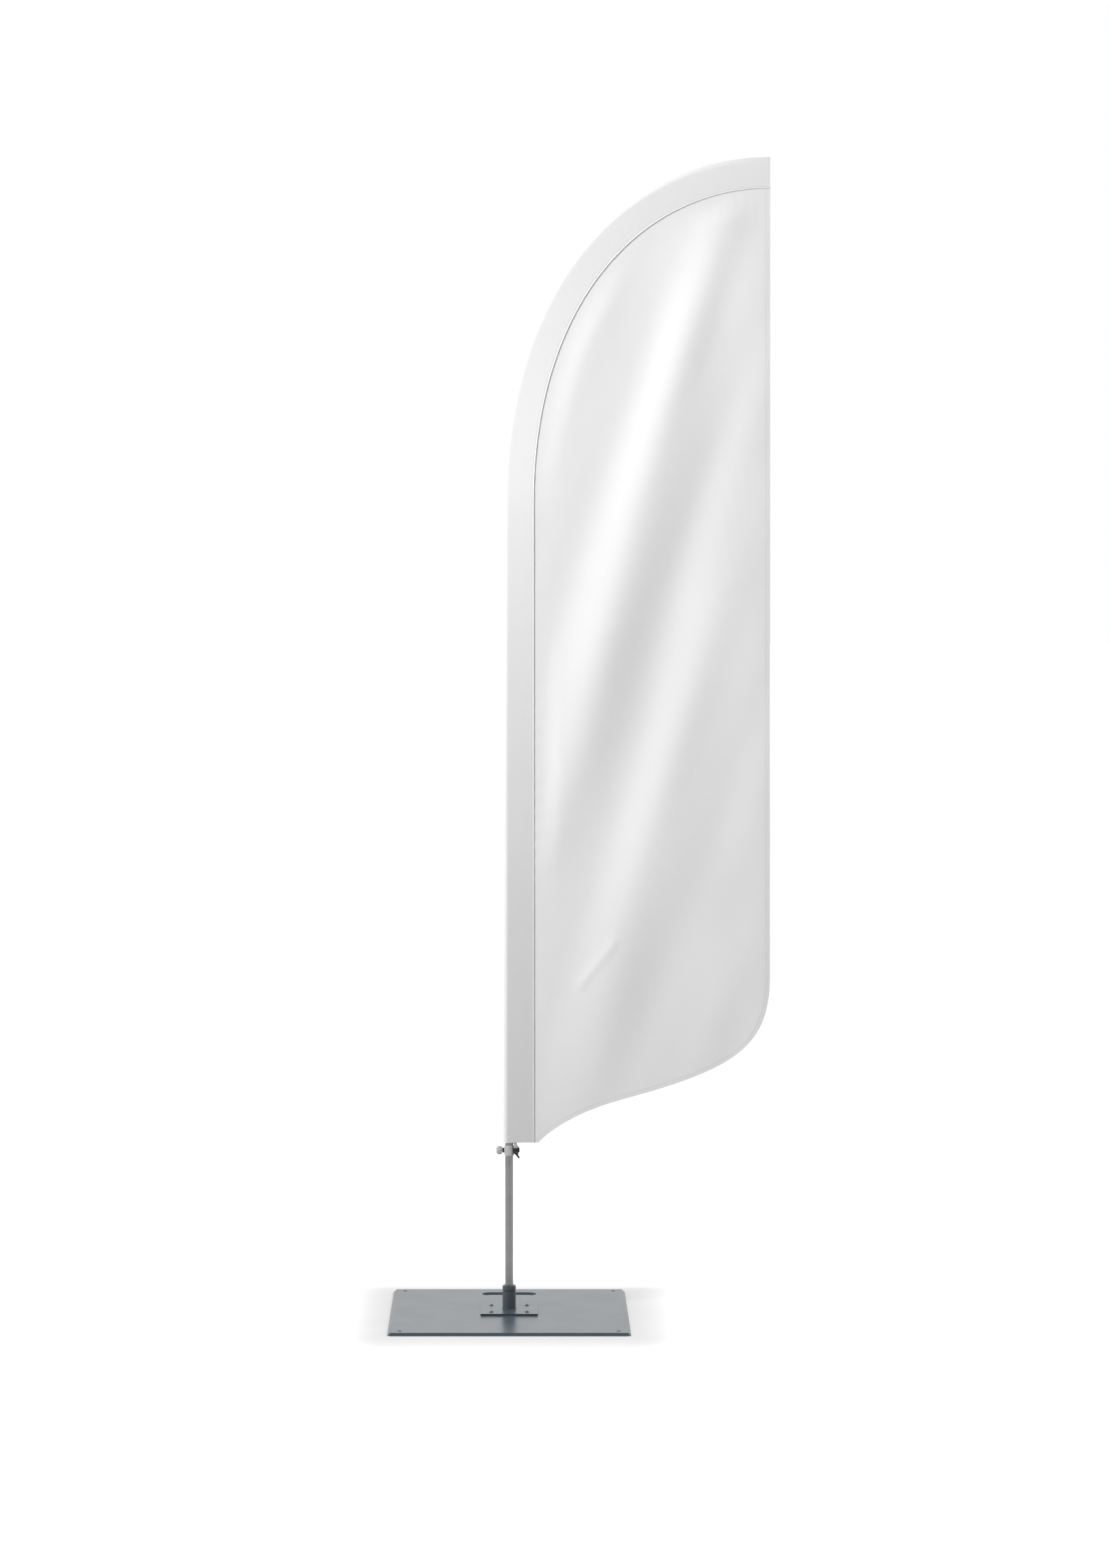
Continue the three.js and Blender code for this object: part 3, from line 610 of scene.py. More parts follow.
def weld_tree():
    """Geometry Nodes: a ring of overlapping drops, as a weld is laid round a tube."""
    sizes = {"Ring Radius": 14.3 * MM, "Drop Radius": 1.2 * MM, "Drops": 54}
    tree, n, into, out = piece_tree("weld_bead", sizes)
    circle = {"Vertices": into["Drops"], "Radius": into["Ring Radius"]}
    ring = n.add("GeometryNodeMeshCircle", circle).outputs["Mesh"]
    ball = {"Subdivisions": 2, "Radius": into["Drop Radius"]}
    drop = n.add("GeometryNodeMeshIcoSphere", ball).outputs["Mesh"]
    size = n.add("FunctionNodeRandomValue", {2: 0.88, 3: 1.08, "Seed": 7}, data_type="FLOAT")
    set_copies(n, into, out, ring, drop, {"Scale": size.outputs[1]})
    return tree


STITCH_TREE = stitch_tree()

# -------- the flag's outline


def bezier(p, t):
    """A point on a cubic curve, and the way along it."""
    s = 1 - t
    point = p[0] * s**3 + p[1] * 3 * s * s * t + p[2] * 3 * s * t * t + p[3] * t**3
    way = (p[1] - p[0]) * 3 * s * s + (p[2] - p[1]) * 6 * s * t + (p[3] - p[2]) * 3 * t * t
    return point, way.normalized()


ARC = [
    Vector((-EDGE_TO_POLE, ARC_START)),
    Vector((-EDGE_TO_POLE, ARC_START + ARC_PULL_UP)),
    Vector((FLAG_RIGHT - ARC_PULL_BACK, FLAG_TOP)),
    Vector((FLAG_RIGHT, FLAG_TOP)),
]


def edge_stations(straight_step=12 * MM, arc_steps=110):
    """Stations up the outer edge: point, outward direction, how far along the arc, and length so far."""
    stations = []
    count = round((ARC_START - FLAG_BOTTOM) / straight_step)
    for i in range(count):
        z = FLAG_BOTTOM + (ARC_START - FLAG_BOTTOM) * i / count
        stations.append((Vector((-EDGE_TO_POLE, z)), Vector((-1, 0)), 0.0))
    for i in range(arc_steps + 1):
        point, way = bezier(ARC, i / arc_steps)
        stations.append((point, Vector((-way.y, way.x)), i / arc_steps))
    length = 0.0
    measured = []
    for i, (point, out, along) in enumerate(stations):
        if i:
            length += (point - stations[i - 1][0]).length
        measured.append((point, out, along, length))
    return measured


STATIONS = edge_stations()


def inside_edge(distance):
    """Arrays of x and z from the bottom up and over to the corner, a distance inside the outer edge."""
    points = [point - out * distance for point, out, _, _ in STATIONS]
    return np.array([p.x for p in points]), np.array([p.y for p in points])


SEAM_X, SEAM_Z = inside_edge(SLEEVE_WIDTH)


def hem_curve(steps=60):
    """The lower edge from the sleeve to the fly edge, in x and z."""
    pulls = [Vector(pull) * MM for pull in ((14, 17), (-104.6, -28.1), (244, 65.6), (0, -149))]
    first = [HEM_START, HEM_START + pulls[0], HEM_TURN + pulls[1], HEM_TURN]
    second = [HEM_TURN, HEM_TURN + pulls[2], HEM_END + pulls[3], HEM_END]
    points = [bezier(first, i / steps)[0] for i in range(steps)]
    return points + [bezier(second, i / steps)[0] for i in range(steps + 1)]


HEM = hem_curve()

# -------- the flag's folds

# Each fold is a soft ridge in the cloth: where its crest starts and ends (x, z), how far the crest bows
# to the left between them, the ridge's half width and how far it stands forward. All in millimetres.
FOLDS = {
    "main crest": ((455, 2340), (115, 1165), -2, 59, 21),
    "main foot": ((458, 2118), (70, 928), -27, 69, 15.5),
    "second crest": ((515, 1925), (142, 403), -3, 65, 15.5),
    "second side": ((558, 1720), (335, 747), 28, 95, 22),
    "upper left": ((219, 2222), (75, 1665), 9, 66, 4.5),
    "upper right": ((543, 2310), (578, 1590), 1, 116, 22),
    "right side": ((615, 1650), (482, 520), -4, 112, 32),
    "lower right hollow": ((520, 956), (463, 484), -5, 56, -7),
}
FOLD_FADES = ((-0.12, 0.25), (0.72, 1.12))  # shares of a crest's height where its fold rises and dies out
FOLD_FREE = 60 * MM  # how far from the seam the folds are free
CREASE_START = Vector((150 * MM, 690 * MM))  # small crease at the foot of the second fold
CREASE_END = Vector((222 * MM, 780 * MM))
CREASE_DEPTH = 2.2 * MM
CREASE_WIDTH = 9 * MM
RIPPLE_DEPTH = 1.1 * MM
WRINKLE_DEPTH = 0.35 * MM
TURN_SLOPES = (0.27, -0.19)  # at the flag's foot and at the start of its arc
TURN_OVER_ARC = 0.15
GATHER_DEPTH = 8.5
GATHER_HEIGHT = 1.6


def ease(low, high, value):
    t = np.clip((value - low) / (high - low), 0, 1)
    return t * t * (3 - 2 * t)


def ridge(x, z, top, bottom, bow, width, height):
    """One fold's height over the cloth, fading out past the ends of its crest."""
    along = (z - bottom[1] * MM) / ((top[1] - bottom[1]) * MM)
    held = np.clip(along, 0, 1)
    crest = (bottom[0] + (top[0] - bottom[0]) * along - 4 * bow * held * (1 - held)) * MM
    rise, fall = FOLD_FADES
    fade = ease(*rise, along) * (1 - ease(*fall, along))
    return height * MM * fade * np.exp(-(((x - crest) / (width * MM)) ** 2))


def crease(x, z):
    """A short crease, as a narrow ridge along a straight line."""
    way = CREASE_END - CREASE_START
    share = ((x - CREASE_START.x) * way.x + (z - CREASE_START.y) * way.y) / way.length_squared
    held = np.clip(share, 0, 1)
    gap = np.hypot(x - CREASE_START.x - held * way.x, z - CREASE_START.y - held * way.y)
    return CREASE_DEPTH * np.exp(-((gap / CREASE_WIDTH) ** 2))


def seam_distance(x, z):
    """The distance to the seam line, from every third of its points."""
    gap = np.full(x.shape, np.inf)
    for sx, sz in zip(SEAM_X[::3], SEAM_Z[::3]):
        gap = np.minimum(gap, np.hypot(x - sx, z - sz))
    return gap


def sleeve_turn(z):
    """The slope of the sleeve's middle about the pole: the wind swings the flag back at its foot."""
    straight = np.interp(z, [FLAG_BOTTOM, ARC_START], TURN_SLOPES)
    return straight + TURN_OVER_ARC * ease(ARC_START, FLAG_TOP, z)


def gathered(x, y, z):
    """Draws the cloth in towards its middle where it stands forward, as folds take up its width."""
    draw = 1 + np.asarray(y) / GATHER_DEPTH
    return x * draw, y, GATHER_HEIGHT + (z - GATHER_HEIGHT) * draw


def cloth_y(x, z):
    """The y of the cloth's middle surface. It starts from the seam, where the folds die out."""
    depth = sum(ridge(x, z, *fold) for fold in FOLDS.values()) + crease(x, z)
    depth = depth + RIPPLE_DEPTH * np.sin(17 * x + 5.0 * z + 0.6) * np.cos(4.1 * z - 6.0 * x)
    depth = depth + WRINKLE_DEPTH * np.sin(61 * x - 23 * z + 1.3)
    at_seam = sleeve_turn(z) * (SLEEVE_WIDTH - EDGE_TO_POLE)
    return at_seam - depth * ease(0.0, FOLD_FREE, seam_distance(x, z))


# -------- soft pieces

CLOTH_THICKNESS = 0.7 * MM
HEM_THICKNESS = 0.55 * MM
HEM_WIDTH = 11 * MM
SEAM_ALLOWANCE = 3 * MM
SEAM_GROOVE = 61.6 * MM  # where the stitching pulls the sleeve's walls together
SEAM_WAVES = ((SEAM_GROOVE, 0.9 * MM, -0.45 * MM), (63.8 * MM, 1.2 * MM, 1.5 * MM))  # place, width, height
SLEEVE_NOSE = 9.5 * MM  # how deep the round of the sleeve's outer edge is
SLEEVE_SEAM_HALF = 0.75 * MM  # half the sleeve's thickness at the seam
BULGE_AT_FOOT = 10.4 * MM  # half its thickness over the pole
BULGE_OVER_ARC = 1.3 * MM  # how much slimmer it gets over the arc
BULGE_STEPS = ((0.93, 1.02, 1.6 * MM), (1.67, 1.78, 1.9 * MM))  # from, to and how much slimmer


def cloth_piece(name, vertices, rows, columns, thickness, uvs=None, finish_mesh=None):
    """Cloth over rows of points, with a UV map in metres: each vertex's own place, or its x and z."""
    piece = mesh_from(name, vertices, quads(rows, columns), CLOTH)
    layer = piece.data.uv_layers.new(name="UVMap")
    for loop in piece.data.loops:
        at = piece.data.vertices[loop.vertex_index].co
        layer.data[loop.index].uv = uvs[loop.vertex_index] if uvs else (at.x, at.z)
    if finish_mesh is not None:
        finish_mesh(piece, columns)
    modify(piece, "thickness", "SOLIDIFY", thickness=thickness, offset=0.0)
    return settle(piece)


def flag_panel():
    rows, columns = 300, 96
    edge_x, edge_z = inside_edge(SLEEVE_WIDTH - SEAM_ALLOWANCE)
    share = np.linspace(0, 1, rows)
    z = FLAG_BOTTOM + (edge_z.max() - FLAG_BOTTOM) * (1 - (1 - share) ** 1.35)
    left = np.interp(z, edge_z, edge_x)
    right = np.interp(z, [p.y for p in HEM], [p.x for p in HEM])
    x = left[:, None] + (right - left)[:, None] * np.linspace(0, 1, columns)[None, :]
    zz = np.repeat(z[:, None], columns, axis=1)
    vertices = np.stack(gathered(x, cloth_y(x, zz), zz), axis=2).reshape(-1, 3)
    return cloth_piece("flag_cloth", vertices, rows, columns, CLOTH_THICKNESS)


def sleeve_bulge(z, along):
    """Half the sleeve's thickness over the pole: snug on each section, so it steps in with them."""
    steps = sum(slimmer * ease(low, high, z) for low, high, slimmer in BULGE_STEPS)
    return float(BULGE_AT_FOOT - steps - BULGE_OVER_ARC * along)


def sleeve_middle(seam_z, inward):
    """The y of the sleeve's middle surface, which turns about the pole."""
    return float(sleeve_turn(seam_z)) * (inward - EDGE_TO_POLE)


def sleeve_half(inward, bulge):
    """Half the sleeve's thickness at a distance in from its outer edge, with a rolled edge at the seam."""
    if inward < SLEEVE_NOSE:
        return bulge * math.sqrt(max(0.0, 1 - ((SLEEVE_NOSE - inward) / SLEEVE_NOSE) ** 2))
    share = (inward - SLEEVE_NOSE) / (SLEEVE_WIDTH - SLEEVE_NOSE)
    half = bulge + (SLEEVE_SEAM_HALF - bulge) * share
    return half + sum(rise * math.exp(-((inward - at) / width) ** 2) for at, width, rise in SEAM_WAVES)


def sleeve_rows():
    """Distances in from the outer edge, close together where the section bends."""
    wall_end = 59.5 * MM
    nose = [SLEEVE_NOSE * (1 - math.cos(math.pi / 2 * i / 10)) for i in range(1, 11)]
    wall = [SLEEVE_NOSE + (wall_end - SLEEVE_NOSE) * i / 14 for i in range(1, 15)]
    edge = [60.4 * MM + 0.5 * MM * i for i in range(10)]
    return nose + wall + edge


def pole_sleeve():
    rows = sleeve_rows()
    vertices = []
    uvs = []
    for point, out, along, length in STATIONS:
        bulge = sleeve_bulge(point.y, along)
        seam_z = (point - out * SLEEVE_WIDTH).y
        section = [(row, -sleeve_half(row, bulge)) for row in reversed(rows)]
        section.append((0.0, 0.0))
        section += [(row, sleeve_half(row, bulge)) for row in rows]
        section = [(row, side + sleeve_middle(seam_z, row)) for row, side in section]
        travelled = 0.0
        for k, (inward, side) in enumerate(section):
            if k:
                last = section[k - 1]
                travelled += math.hypot(inward - last[0], side - last[1])
            at = point - out * inward
            vertices.append(gathered(at.x, side, at.y))
            uvs.append((travelled, length))
    count = 2 * len(rows) + 1
    return cloth_piece("sleeve_cloth", vertices, len(STATIONS), count, CLOTH_THICKNESS, uvs, close_sleeve_end)


def close_sleeve_end(piece, count):
    """Sews the sleeve shut at the flag's upper corner, between its front and back walls."""
    bm = bmesh.new()
    bm.from_mesh(piece.data)
    bm.verts.ensure_lookup_table()
    last = (len(STATIONS) - 1) * count
    for j in range(count // 2):
        front = (bm.verts[last + j], bm.verts[last + j + 1])
        back = (bm.verts[last + count - 1 - j], bm.verts[last + count - 2 - j])
        corners = [front[0], front[1], back[1], back[0]]
        if front[1] is back[1]:
            corners = [front[0], front[1], back[0]]
        bm.faces.new(corners)
    bmesh.ops.recalc_face_normals(bm, faces=bm.faces)
    bm.to_mesh(piece.data)
    bm.free()


def seam_lines():
    """Two rows of stitches on the sleeve's groove, one on each face."""
    lines = []
    for side in (-1, 1):
        line = []
        for point, out, along, _ in STATIONS[1:-1]:
            at = point - out * SEAM_GROOVE
            lift = sleeve_half(SEAM_GROOVE, sleeve_bulge(point.y, along)) + CLOTH_THICKNESS / 2 + 0.1 * MM
            middle = sleeve_middle((point - out * SLEEVE_WIDTH).y, SEAM_GROOVE)
            line.append(gathered(at.x, middle + side * lift, at.y))
        lines.append(line)
    return lines


def free_edge(distance):
    """The panel's free edge, along the lower edge and up the fly edge, moved into the cloth."""
    points = list(HEM)
    top = SEAM_Z.max()
    count = 130
    for i in range(1, count + 1):
        points.append(Vector((FLAG_RIGHT, HEM_END.y + (top - HEM_END.y) * i / count)))
    moved = []
    for i, point in enumerate(points):
        way = points[min(i + 1, len(points) - 1)] - points[max(i - 1, 0)]
        moved.append(point + Vector((-way.y, way.x)).normalized() * distance)
    return moved


def on_cloth(points, lift):
    """Puts points in x and z on the cloth, lifted off its front (negative) or back (positive)."""
    x = np.array([p.x for p in points])
    z = np.array([p.y for p in points])
    return list(zip(*gathered(x, cloth_y(x, z) + lift, z)))


def hem_band():
    """The folded hem on the back of the free edge."""
    rows = [on_cloth(free_edge(HEM_WIDTH * k / 3), CLOTH_THICKNESS * 0.95) for k in range(4)]
    return cloth_piece("flag_hem", [v for row in rows for v in row], 4, len(rows[0]), HEM_THICKNESS)


def hem_lines():
    """A row of stitches on each face, 2 mm from the hem's inner edge."""
    inner = free_edge(HEM_WIDTH - 2 * MM)
    return [on_cloth(inner, CLOTH_THICKNESS * lift) for lift in (-0.6, 1.45)]


def stitches(name, lines):
    """One piece of stitching along every line, each a list of points."""
    curve = bpy.data.curves.new(name, "CURVE")
    curve.dimensions = "3D"
    for line in lines:
        spline = curve.splines.new("POLY")
        spline.points.add(len(line) - 1)
        for point, at in zip(spline.points, line):
            point.co = (*at, 1)
    piece = grown(name, STITCH_TREE, {"Material": THREAD}, curve)
    piece.data.shade_smooth()
    return piece


def make_flag():
    panel = finish(flag_panel(), "pole", "flag_fabric", "flag_panel")
    hem = finish(hem_band(), "pole", "flag_fabric")
    hem_thread = finish(stitches("hem_stitches", hem_lines()), "pole", "flag_fabric")
    sleeve = finish(pole_sleeve(), "pole", "flag_fabric", "pole_sleeve")
    seam_thread = finish(stitches("seam_stitches", seam_lines()), "pole", "flag_fabric")


# -------- floor plate and spigot unit

PLATE_BEVEL = 5.6 * MM
PLATE_CORNER = 9 * MM
EDGE_ROUNDING = 0.45 * MM
SLOT_Y = 189 * MM
SLOT_SIZE = Vector((116 * MM, 36 * MM))
SQUARE = ((-1, -1), (1, -1), (-1, 1), (1, 1))
ANCHOR_OFFSET = 225 * MM
ANCHOR_RADIUS = 4 * MM
SCREW_OFFSET = 37.5 * MM
SCREW_HOLE_RADIUS = 2.8 * MM
SPIGOT_HOLE_RADIUS = 12.3  # in millimetres


def bore(piece, offset, radius, low, high, rim=0.0, steps=24):
    """Cuts holes at the corners of a square, each widening into a countersink at its upper end."""
    profile = [(0, low), (radius, low), (radius, high - rim), (radius + 2 * rim, high + rim), (0, high + rim)]
    for x, y in SQUARE:
        place = Matrix.Translation((x * offset, y * offset, 0))
        cut_with(piece, turned("cutter", profile, None, steps, place))


def base_plate():
    low, high = PLATE_LOW.z, PLATE_HIGH.z
    rings = []
    for inset, height in ((0, low), (0, high - PLATE_BEVEL), (PLATE_BEVEL, high)):
        side = 2 * (PLATE_HIGH.x - inset)
        outline = rounded_box((0, 0), side, side, PLATE_CORNER - inset)
        rings.append([(x, y, height) for x, y in outline])
    piece = skinned("floor_plate", rings, PLATE_PAINT)
    slot = rounded_box((0, SLOT_Y), *SLOT_SIZE, SLOT_SIZE.y / 2, steps=24)
    cut_with(piece, prism(slot, low - 5 * MM, high + 5 * MM))
    bore(piece, ANCHOR_OFFSET, ANCHOR_RADIUS, low - MM, high, rim=0.5 * MM, steps=40)
    bore(piece, SCREW_OFFSET, SCREW_HOLE_RADIUS, low + 1.2 * MM, high + MM)
    round_edges(piece, EDGE_ROUNDING, segments=2, angle=25)
    return settle(piece)


def mount_plate():
    low, high = MOUNT_LOW.z, MOUNT_HIGH.z
    side = 2 * MOUNT_HIGH.x
    piece = prism(rounded_box((0, 0), side, side, 2 * MM), low, high, "mount_plate_skin", PLATE_PAINT)
    below, above = (low - MM) / MM, (high + MM) / MM
    cut_with(piece, rod(Matrix.Identity(4), SPIGOT_HOLE_RADIUS, below, above, steps=96))
    bore(piece, SCREW_OFFSET, SCREW_HOLE_RADIUS, low - MM, high + MM)
    round_edges(piece, 0.5 * MM, segments=3, angle=40)
    return settle(piece)


def button_screw():
    """One button-head screw with a hexagonal socket, about +Z at the origin."""
    low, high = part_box("mount_screw_front_left")
    seat = MOUNT_HIGH.z + 0.05 * MM
    rim = seat + 0.3 * MM
    radius = (high.x - low.x) / 2
    shank = 2.5 * MM
    profile = [(0, low.z), (2.2 * MM, low.z), (shank, low.z + 0.4 * MM), (shank, seat)]
    profile.append((radius - 0.2 * MM, seat))
    for i in range(11):
        angle = math.radians(4 + 6.4 * i)
        profile.append((radius * math.cos(angle), rim + (high.z - rim) * math.sin(angle) / math.sin(1.187)))
    profile.append((0, high.z))
    piece = turned("screw_master", profile, ZINC, 48)
    half_key = 1.7 * MM
    floor, above = high.z - half_key, high.z + MM
    key = [(0, floor - 0.5 * MM), (half_key, floor), (half_key, above), (0, above)]
    cut_with(piece, turned("cutter", key, None, 6))
    return settle(piece, 30)


def mount_screws():
    master = button_screw()
    values = {"Piece": master, "Spacing": 2 * SCREW_OFFSET, "Material": ZINC}
    screws = grown("mount_screws", corner_tree(), values)
    bpy.data.objects.remove(master)
    return screws


def weld_bead():
    piece = grown("housing_weld", weld_tree(), {"Material": HOUSING_PAINT})
    piece.data.transform(Matrix.Translation((0, 0, HOUSING_LOW.z + 0.2 * MM)))
    modify(piece, "skin", "REMESH", mode="VOXEL", voxel_size=0.35 * MM)
    mesh = bake(piece)
    mesh.shade_smooth()
    mesh.materials.clear()
    mesh.materials.append(HOUSING_PAINT)
    return piece


def spigot_housing():
    low, high = HOUSING_LOW.z / MM, HOUSING_HIGH.z / MM
    corners = [(12, low, 0), (14, low, 0), (14, high, 0.7), (12, high, 0.3)]
    return turning("spigot_tube", corners, HOUSING_PAINT, 128)


def rotor_socket():
    low, top = ROTOR_LOW.z / MM, ROTOR_HIGH.z / MM
    corners = [
        (0, low, 0), (8, low, 0.3), (8, 9, 0), (7, 9, 0), (7, 10.4, 0), (8, 10.4, 0), (8, 12.2, 0),
        (10.2, 12.2, 0.3), (10.2, 49.7, 0), (14, 49.7, 0.4), (14, top, 3.2), (8.9, top, 0.6),
        (8.9, 17, 0), (0, 17, 0),
    ]
    return turning("turning_socket", corners, HOUSING_PAINT, 128)


def upper_bush():
    tube = [(10.5, 34, 0), (11.7, 34, 0.2), (11.7, 48.1, 0)]
    flange = [(13, 48.1, 0.2), (13, 49.3, 0.3), (10.5, 49.3, 0.2)]
    return turning("flanged_bush", tube + flange, NYLON, 96)


def pole_tube():
    low, high = LOWER_LOW.z / MM, LOWER_HIGH.z / MM
    corners = [(7.3, low, 0.2), (8.5, low, 0.4), (8.5, high, 0.4), (7.3, high, 0.2)]
    return turning("lower_pole", corners, ALUMINIUM, 128)


def make_base():
    finish(base_plate(), "base", "plate_paint", "base_plate")
    finish(mount_plate(), "base", "plate_paint", "mount_plate")
    screws = [f"mount_screw_{label}" for label in ("front_left", "front_right", "rear_left", "rear_right")]
    finish(mount_screws(), "base", "steel", *screws)
    finish(spigot_housing(), "base", "housing_paint", "spigot_housing")
    finish(weld_bead(), "base", "housing_paint")
    finish(upper_bush(), "base", "nylon", "upper_bush")
    finish(rotor_socket(), "rotor", "housing_paint", "rotor_socket")
    finish(pole_tube(), "pole", "pole_metal", "pole_lower_tube")


# -------- tension collar

CLAMP_Z = (KNOB_LOW.z + KNOB_HIGH.z) / 2
ALONG_CLAMP = Matrix.Translation((0, 0, CLAMP_Z)) @ Matrix.Rotation(-math.pi / 2, 4, "Y")
PEG_X = (PEG_LOW.x + PEG_HIGH.x) / 2
PEG_Z = (PEG_LOW.z + PEG_HIGH.z) / 2
ALONG_PEG = Matrix.Translation((PEG_X, 0, PEG_Z)) @ Matrix.Rotation(math.pi / 2, 4, "X")


def tension_collar():
    low, high = COLLAR_LOW.z / MM, COLLAR_HIGH.z / MM
    body = [(6, low, 0), (10.4, low, 1.3), (10.4, high, 1.3), (6, high, 0)]
    piece = turned("clamp_collar", rounded_profile(body), LIGHT_PLASTIC)
    join_with(piece, rod(ALONG_CLAMP, 4.8, 7, 14.2, "boss"))
    reach = 5 * MM
    inner = 6.5 * MM
    ear = [(inner, PEG_Z - reach), (inner, PEG_Z + reach)] + arc_points((PEG_X, PEG_Z), reach, 90, -90, 24)
    join_with(piece, upright(ear, -5.2 * MM, -2.4 * MM, "ear"))
    hole = [(0, low - 2, 0), (8.9, low - 2, 0), (8.9, high + 2, 0), (0, high + 2, 0)]
    cut_with(piece, turned("cutter", rounded_profile(hole), None))
    cut_with(piece, rod(ALONG_CLAMP, 3.7, 5, 16))
    cut_with(piece, rod(ALONG_PEG, 2.5, 1, 8, steps=48))
    return mould(piece)


def clamp_knob():
    near, far = -KNOB_HIGH.x / MM, -KNOB_LOW.x / MM
    radius = (KNOB_HIGH.z - KNOB_LOW.z) / 2 / MM
    profile = [
        (0, near, 0), (radius * 0.72, near, 0.8), (radius, near + 3.2, 1.2), (radius, near + 6.5, 1.6),
        (radius * 0.84, far - 1.8, 1.6), (radius * 0.5, far, 1.2), (0, far, 0),
    ]
    piece = turned("clamping_knob", rounded_profile(profile), LIGHT_PLASTIC, 112, ALONG_CLAMP)
    flutes = 7
    reach = (radius + 1.3) * MM
    for i in range(flutes):
        angle = math.tau * i / flutes
        flute = rod(ALONG_CLAMP, 2.6, near - 2, far + 2, steps=40)
        flute.data.transform(Matrix.Translation((0, reach * math.sin(angle), reach * math.cos(angle))))
        cut_with(piece, flute)
    cut_with(piece, rod(ALONG_CLAMP, 2.4, near - 1, near + 9.3))
    return mould(piece, rounds=9)


def clamp_neck():
    """A black sleeve on the collar's boss, between the collar and the knob: a dark piece that paints the
    shade on the neck there.
    """
    corners = [(4.85, 10.9, 0), (5.4, 10.9, 0.3), (5.4, 14.1, 0.3), (4.85, 14.1, 0)]
    return turning("clamp_neck", corners, BLACK_PLASTIC, 64, ALONG_CLAMP)


def lean(piece, x, z, degrees):
    """Leans a piece made about the origin, and moves it to its place."""
    turn = Matrix.Rotation(math.radians(degrees), 4, "Y")
    piece.data.transform(Matrix.Translation((x, 0, z)) @ turn)
    return piece


def snap_hook():
    """The flat snap hook: a bar for the elastic, an eye for the peg, a throat and a flared lip."""
    front, back = HOOK_LOW.y, HOOK_HIGH.y
    through = (front - MM, back + MM)
    width = 12.8 * MM
    height = 18 * MM
    top = HOOK_HIGH.z
    middle = top - height / 2
    outline = rounded_box((PEG_X, middle), width, height, 5.8 * MM, steps=16)
    piece = upright(outline, front, back, "snap_hook", BLACK_PLASTIC)
    lip = upright(rounded_box((0, -6 * MM), 4 * MM, 12 * MM, 1.4 * MM, steps=8), front, back, "lip")
    join_with(piece, lean(lip, PEG_X - 1.6 * MM, top - height + 2.2 * MM, -38))
    cut_with(piece, rod(ALONG_PEG, 2.6, 4, 13, steps=48))
    throat = upright(rounded_box((6 * MM, 0), 12 * MM, 3 * MM, 0.6 * MM, steps=4), *through)
    cut_with(piece, lean(throat, PEG_X, PEG_Z, 28))
    slot = rounded_box((PEG_X - MM, top - 3.2 * MM), 8.6 * MM, 2.2 * MM, 0.9 * MM, steps=6)
    cut_with(piece, upright(slot, *through))
    groove = rounded_box((PEG_X, middle), width - 3.4 * MM, height - 3.4 * MM, 4.4 * MM, steps=12)
    recess = upright(groove, front - MM, front + 0.7 * MM)
    rim = rounded_box((PEG_X, middle - 1.4 * MM), width - 5 * MM, height - 8.6 * MM, 3.4 * MM, steps=12)
    cut_with(recess, upright(rim, front - 2 * MM, front + 2 * MM))
    cut_with(piece, recess)
    return mould(piece, grid=0.28 * MM, rounds=5)


def hook_peg():
    start, end = -PEG_HIGH.y / MM, -PEG_LOW.y / MM
    head = end - 1.05
    corners = [
        (0, start, 0), (2.2, start, 0.2), (2.2, head, 0), (3.4, head, 0.2), (3.3, end - 0.4, 0.4),
        (1.6, end, 0.6), (0, end, 0),
    ]
    return turning("hook_rivet", corners, DARK_STEEL, 64, ALONG_PEG)


def insert_ring():
    corners = [(2.5, 9.8, 0), (3.4, 9.8, 0.2), (3.4, 14, 0.2), (2.5, 14, 0.2)]
    return turning("brass_insert", corners, BRASS, 64, ALONG_CLAMP)


ELASTIC_PATH = [  # centre line in millimetres, down from the sleeve, round the hook's bar and back up
    (12.6, -1.2, 372), (12.6, -1.2, 366), (12.6, -1.5, 361), (12.9, -4.0, 358.3), (13.7, -8.6, 356),
    (14.3, -11.2, 354.2), (14.6, -11.6, 352.4), (14.6, -10.8, 350.7), (14.6, -8.2, 350.1),
    (14.6, -5.6, 350.6), (14.6, -4.7, 352.2), (14.2, -3.2, 354.0), (13.5, -1.6, 356), (12.9, -0.3, 358),
    (12.6, 0.2, 361), (12.6, 0.2, 366), (12.6, 0.2, 372),
]
ELASTIC_WIDTH = 7.4 * MM
ELASTIC_THICKNESS = 1.1 * MM


def smooth_path(points, steps=4):
    """A smooth curve through points, as more points."""
    found = []
    count = len(points)
    for i in range(count - 1):
        p = [Vector(points[max(0, min(count - 1, i + k))]) * MM for k in (-1, 0, 1, 2)]
        for k in range(steps):
            t = k / steps
            found.append(0.5 * (
                2 * p[1] + (p[2] - p[0]) * t + (2 * p[0] - 5 * p[1] + 4 * p[2] - p[3]) * t * t
                + (3 * p[1] - p[0] - 3 * p[2] + p[3]) * t**3
            ))
    found.append(Vector(points[-1]) * MM)
    return found


def elastic_loop():
    """A flat elastic band swept along its centre line, with rounded selvedges."""
    centre = smooth_path(ELASTIC_PATH)
    section = rounded_box((0, 0), ELASTIC_WIDTH, ELASTIC_THICKNESS, ELASTIC_THICKNESS * 0.45, steps=3)
    across = Vector((1, 0, 0))
    rings = []
    for i, at in enumerate(centre):
        way = centre[min(i + 1, len(centre) - 1)] - centre[max(i - 1, 0)]
        up = way.normalized().cross(across).normalized()
        rings.append([at + across * a + up * b for a, b in section])
    piece = skinned("elastic_loop", rings, ELASTIC)
    piece.data.shade_smooth()
    return piece


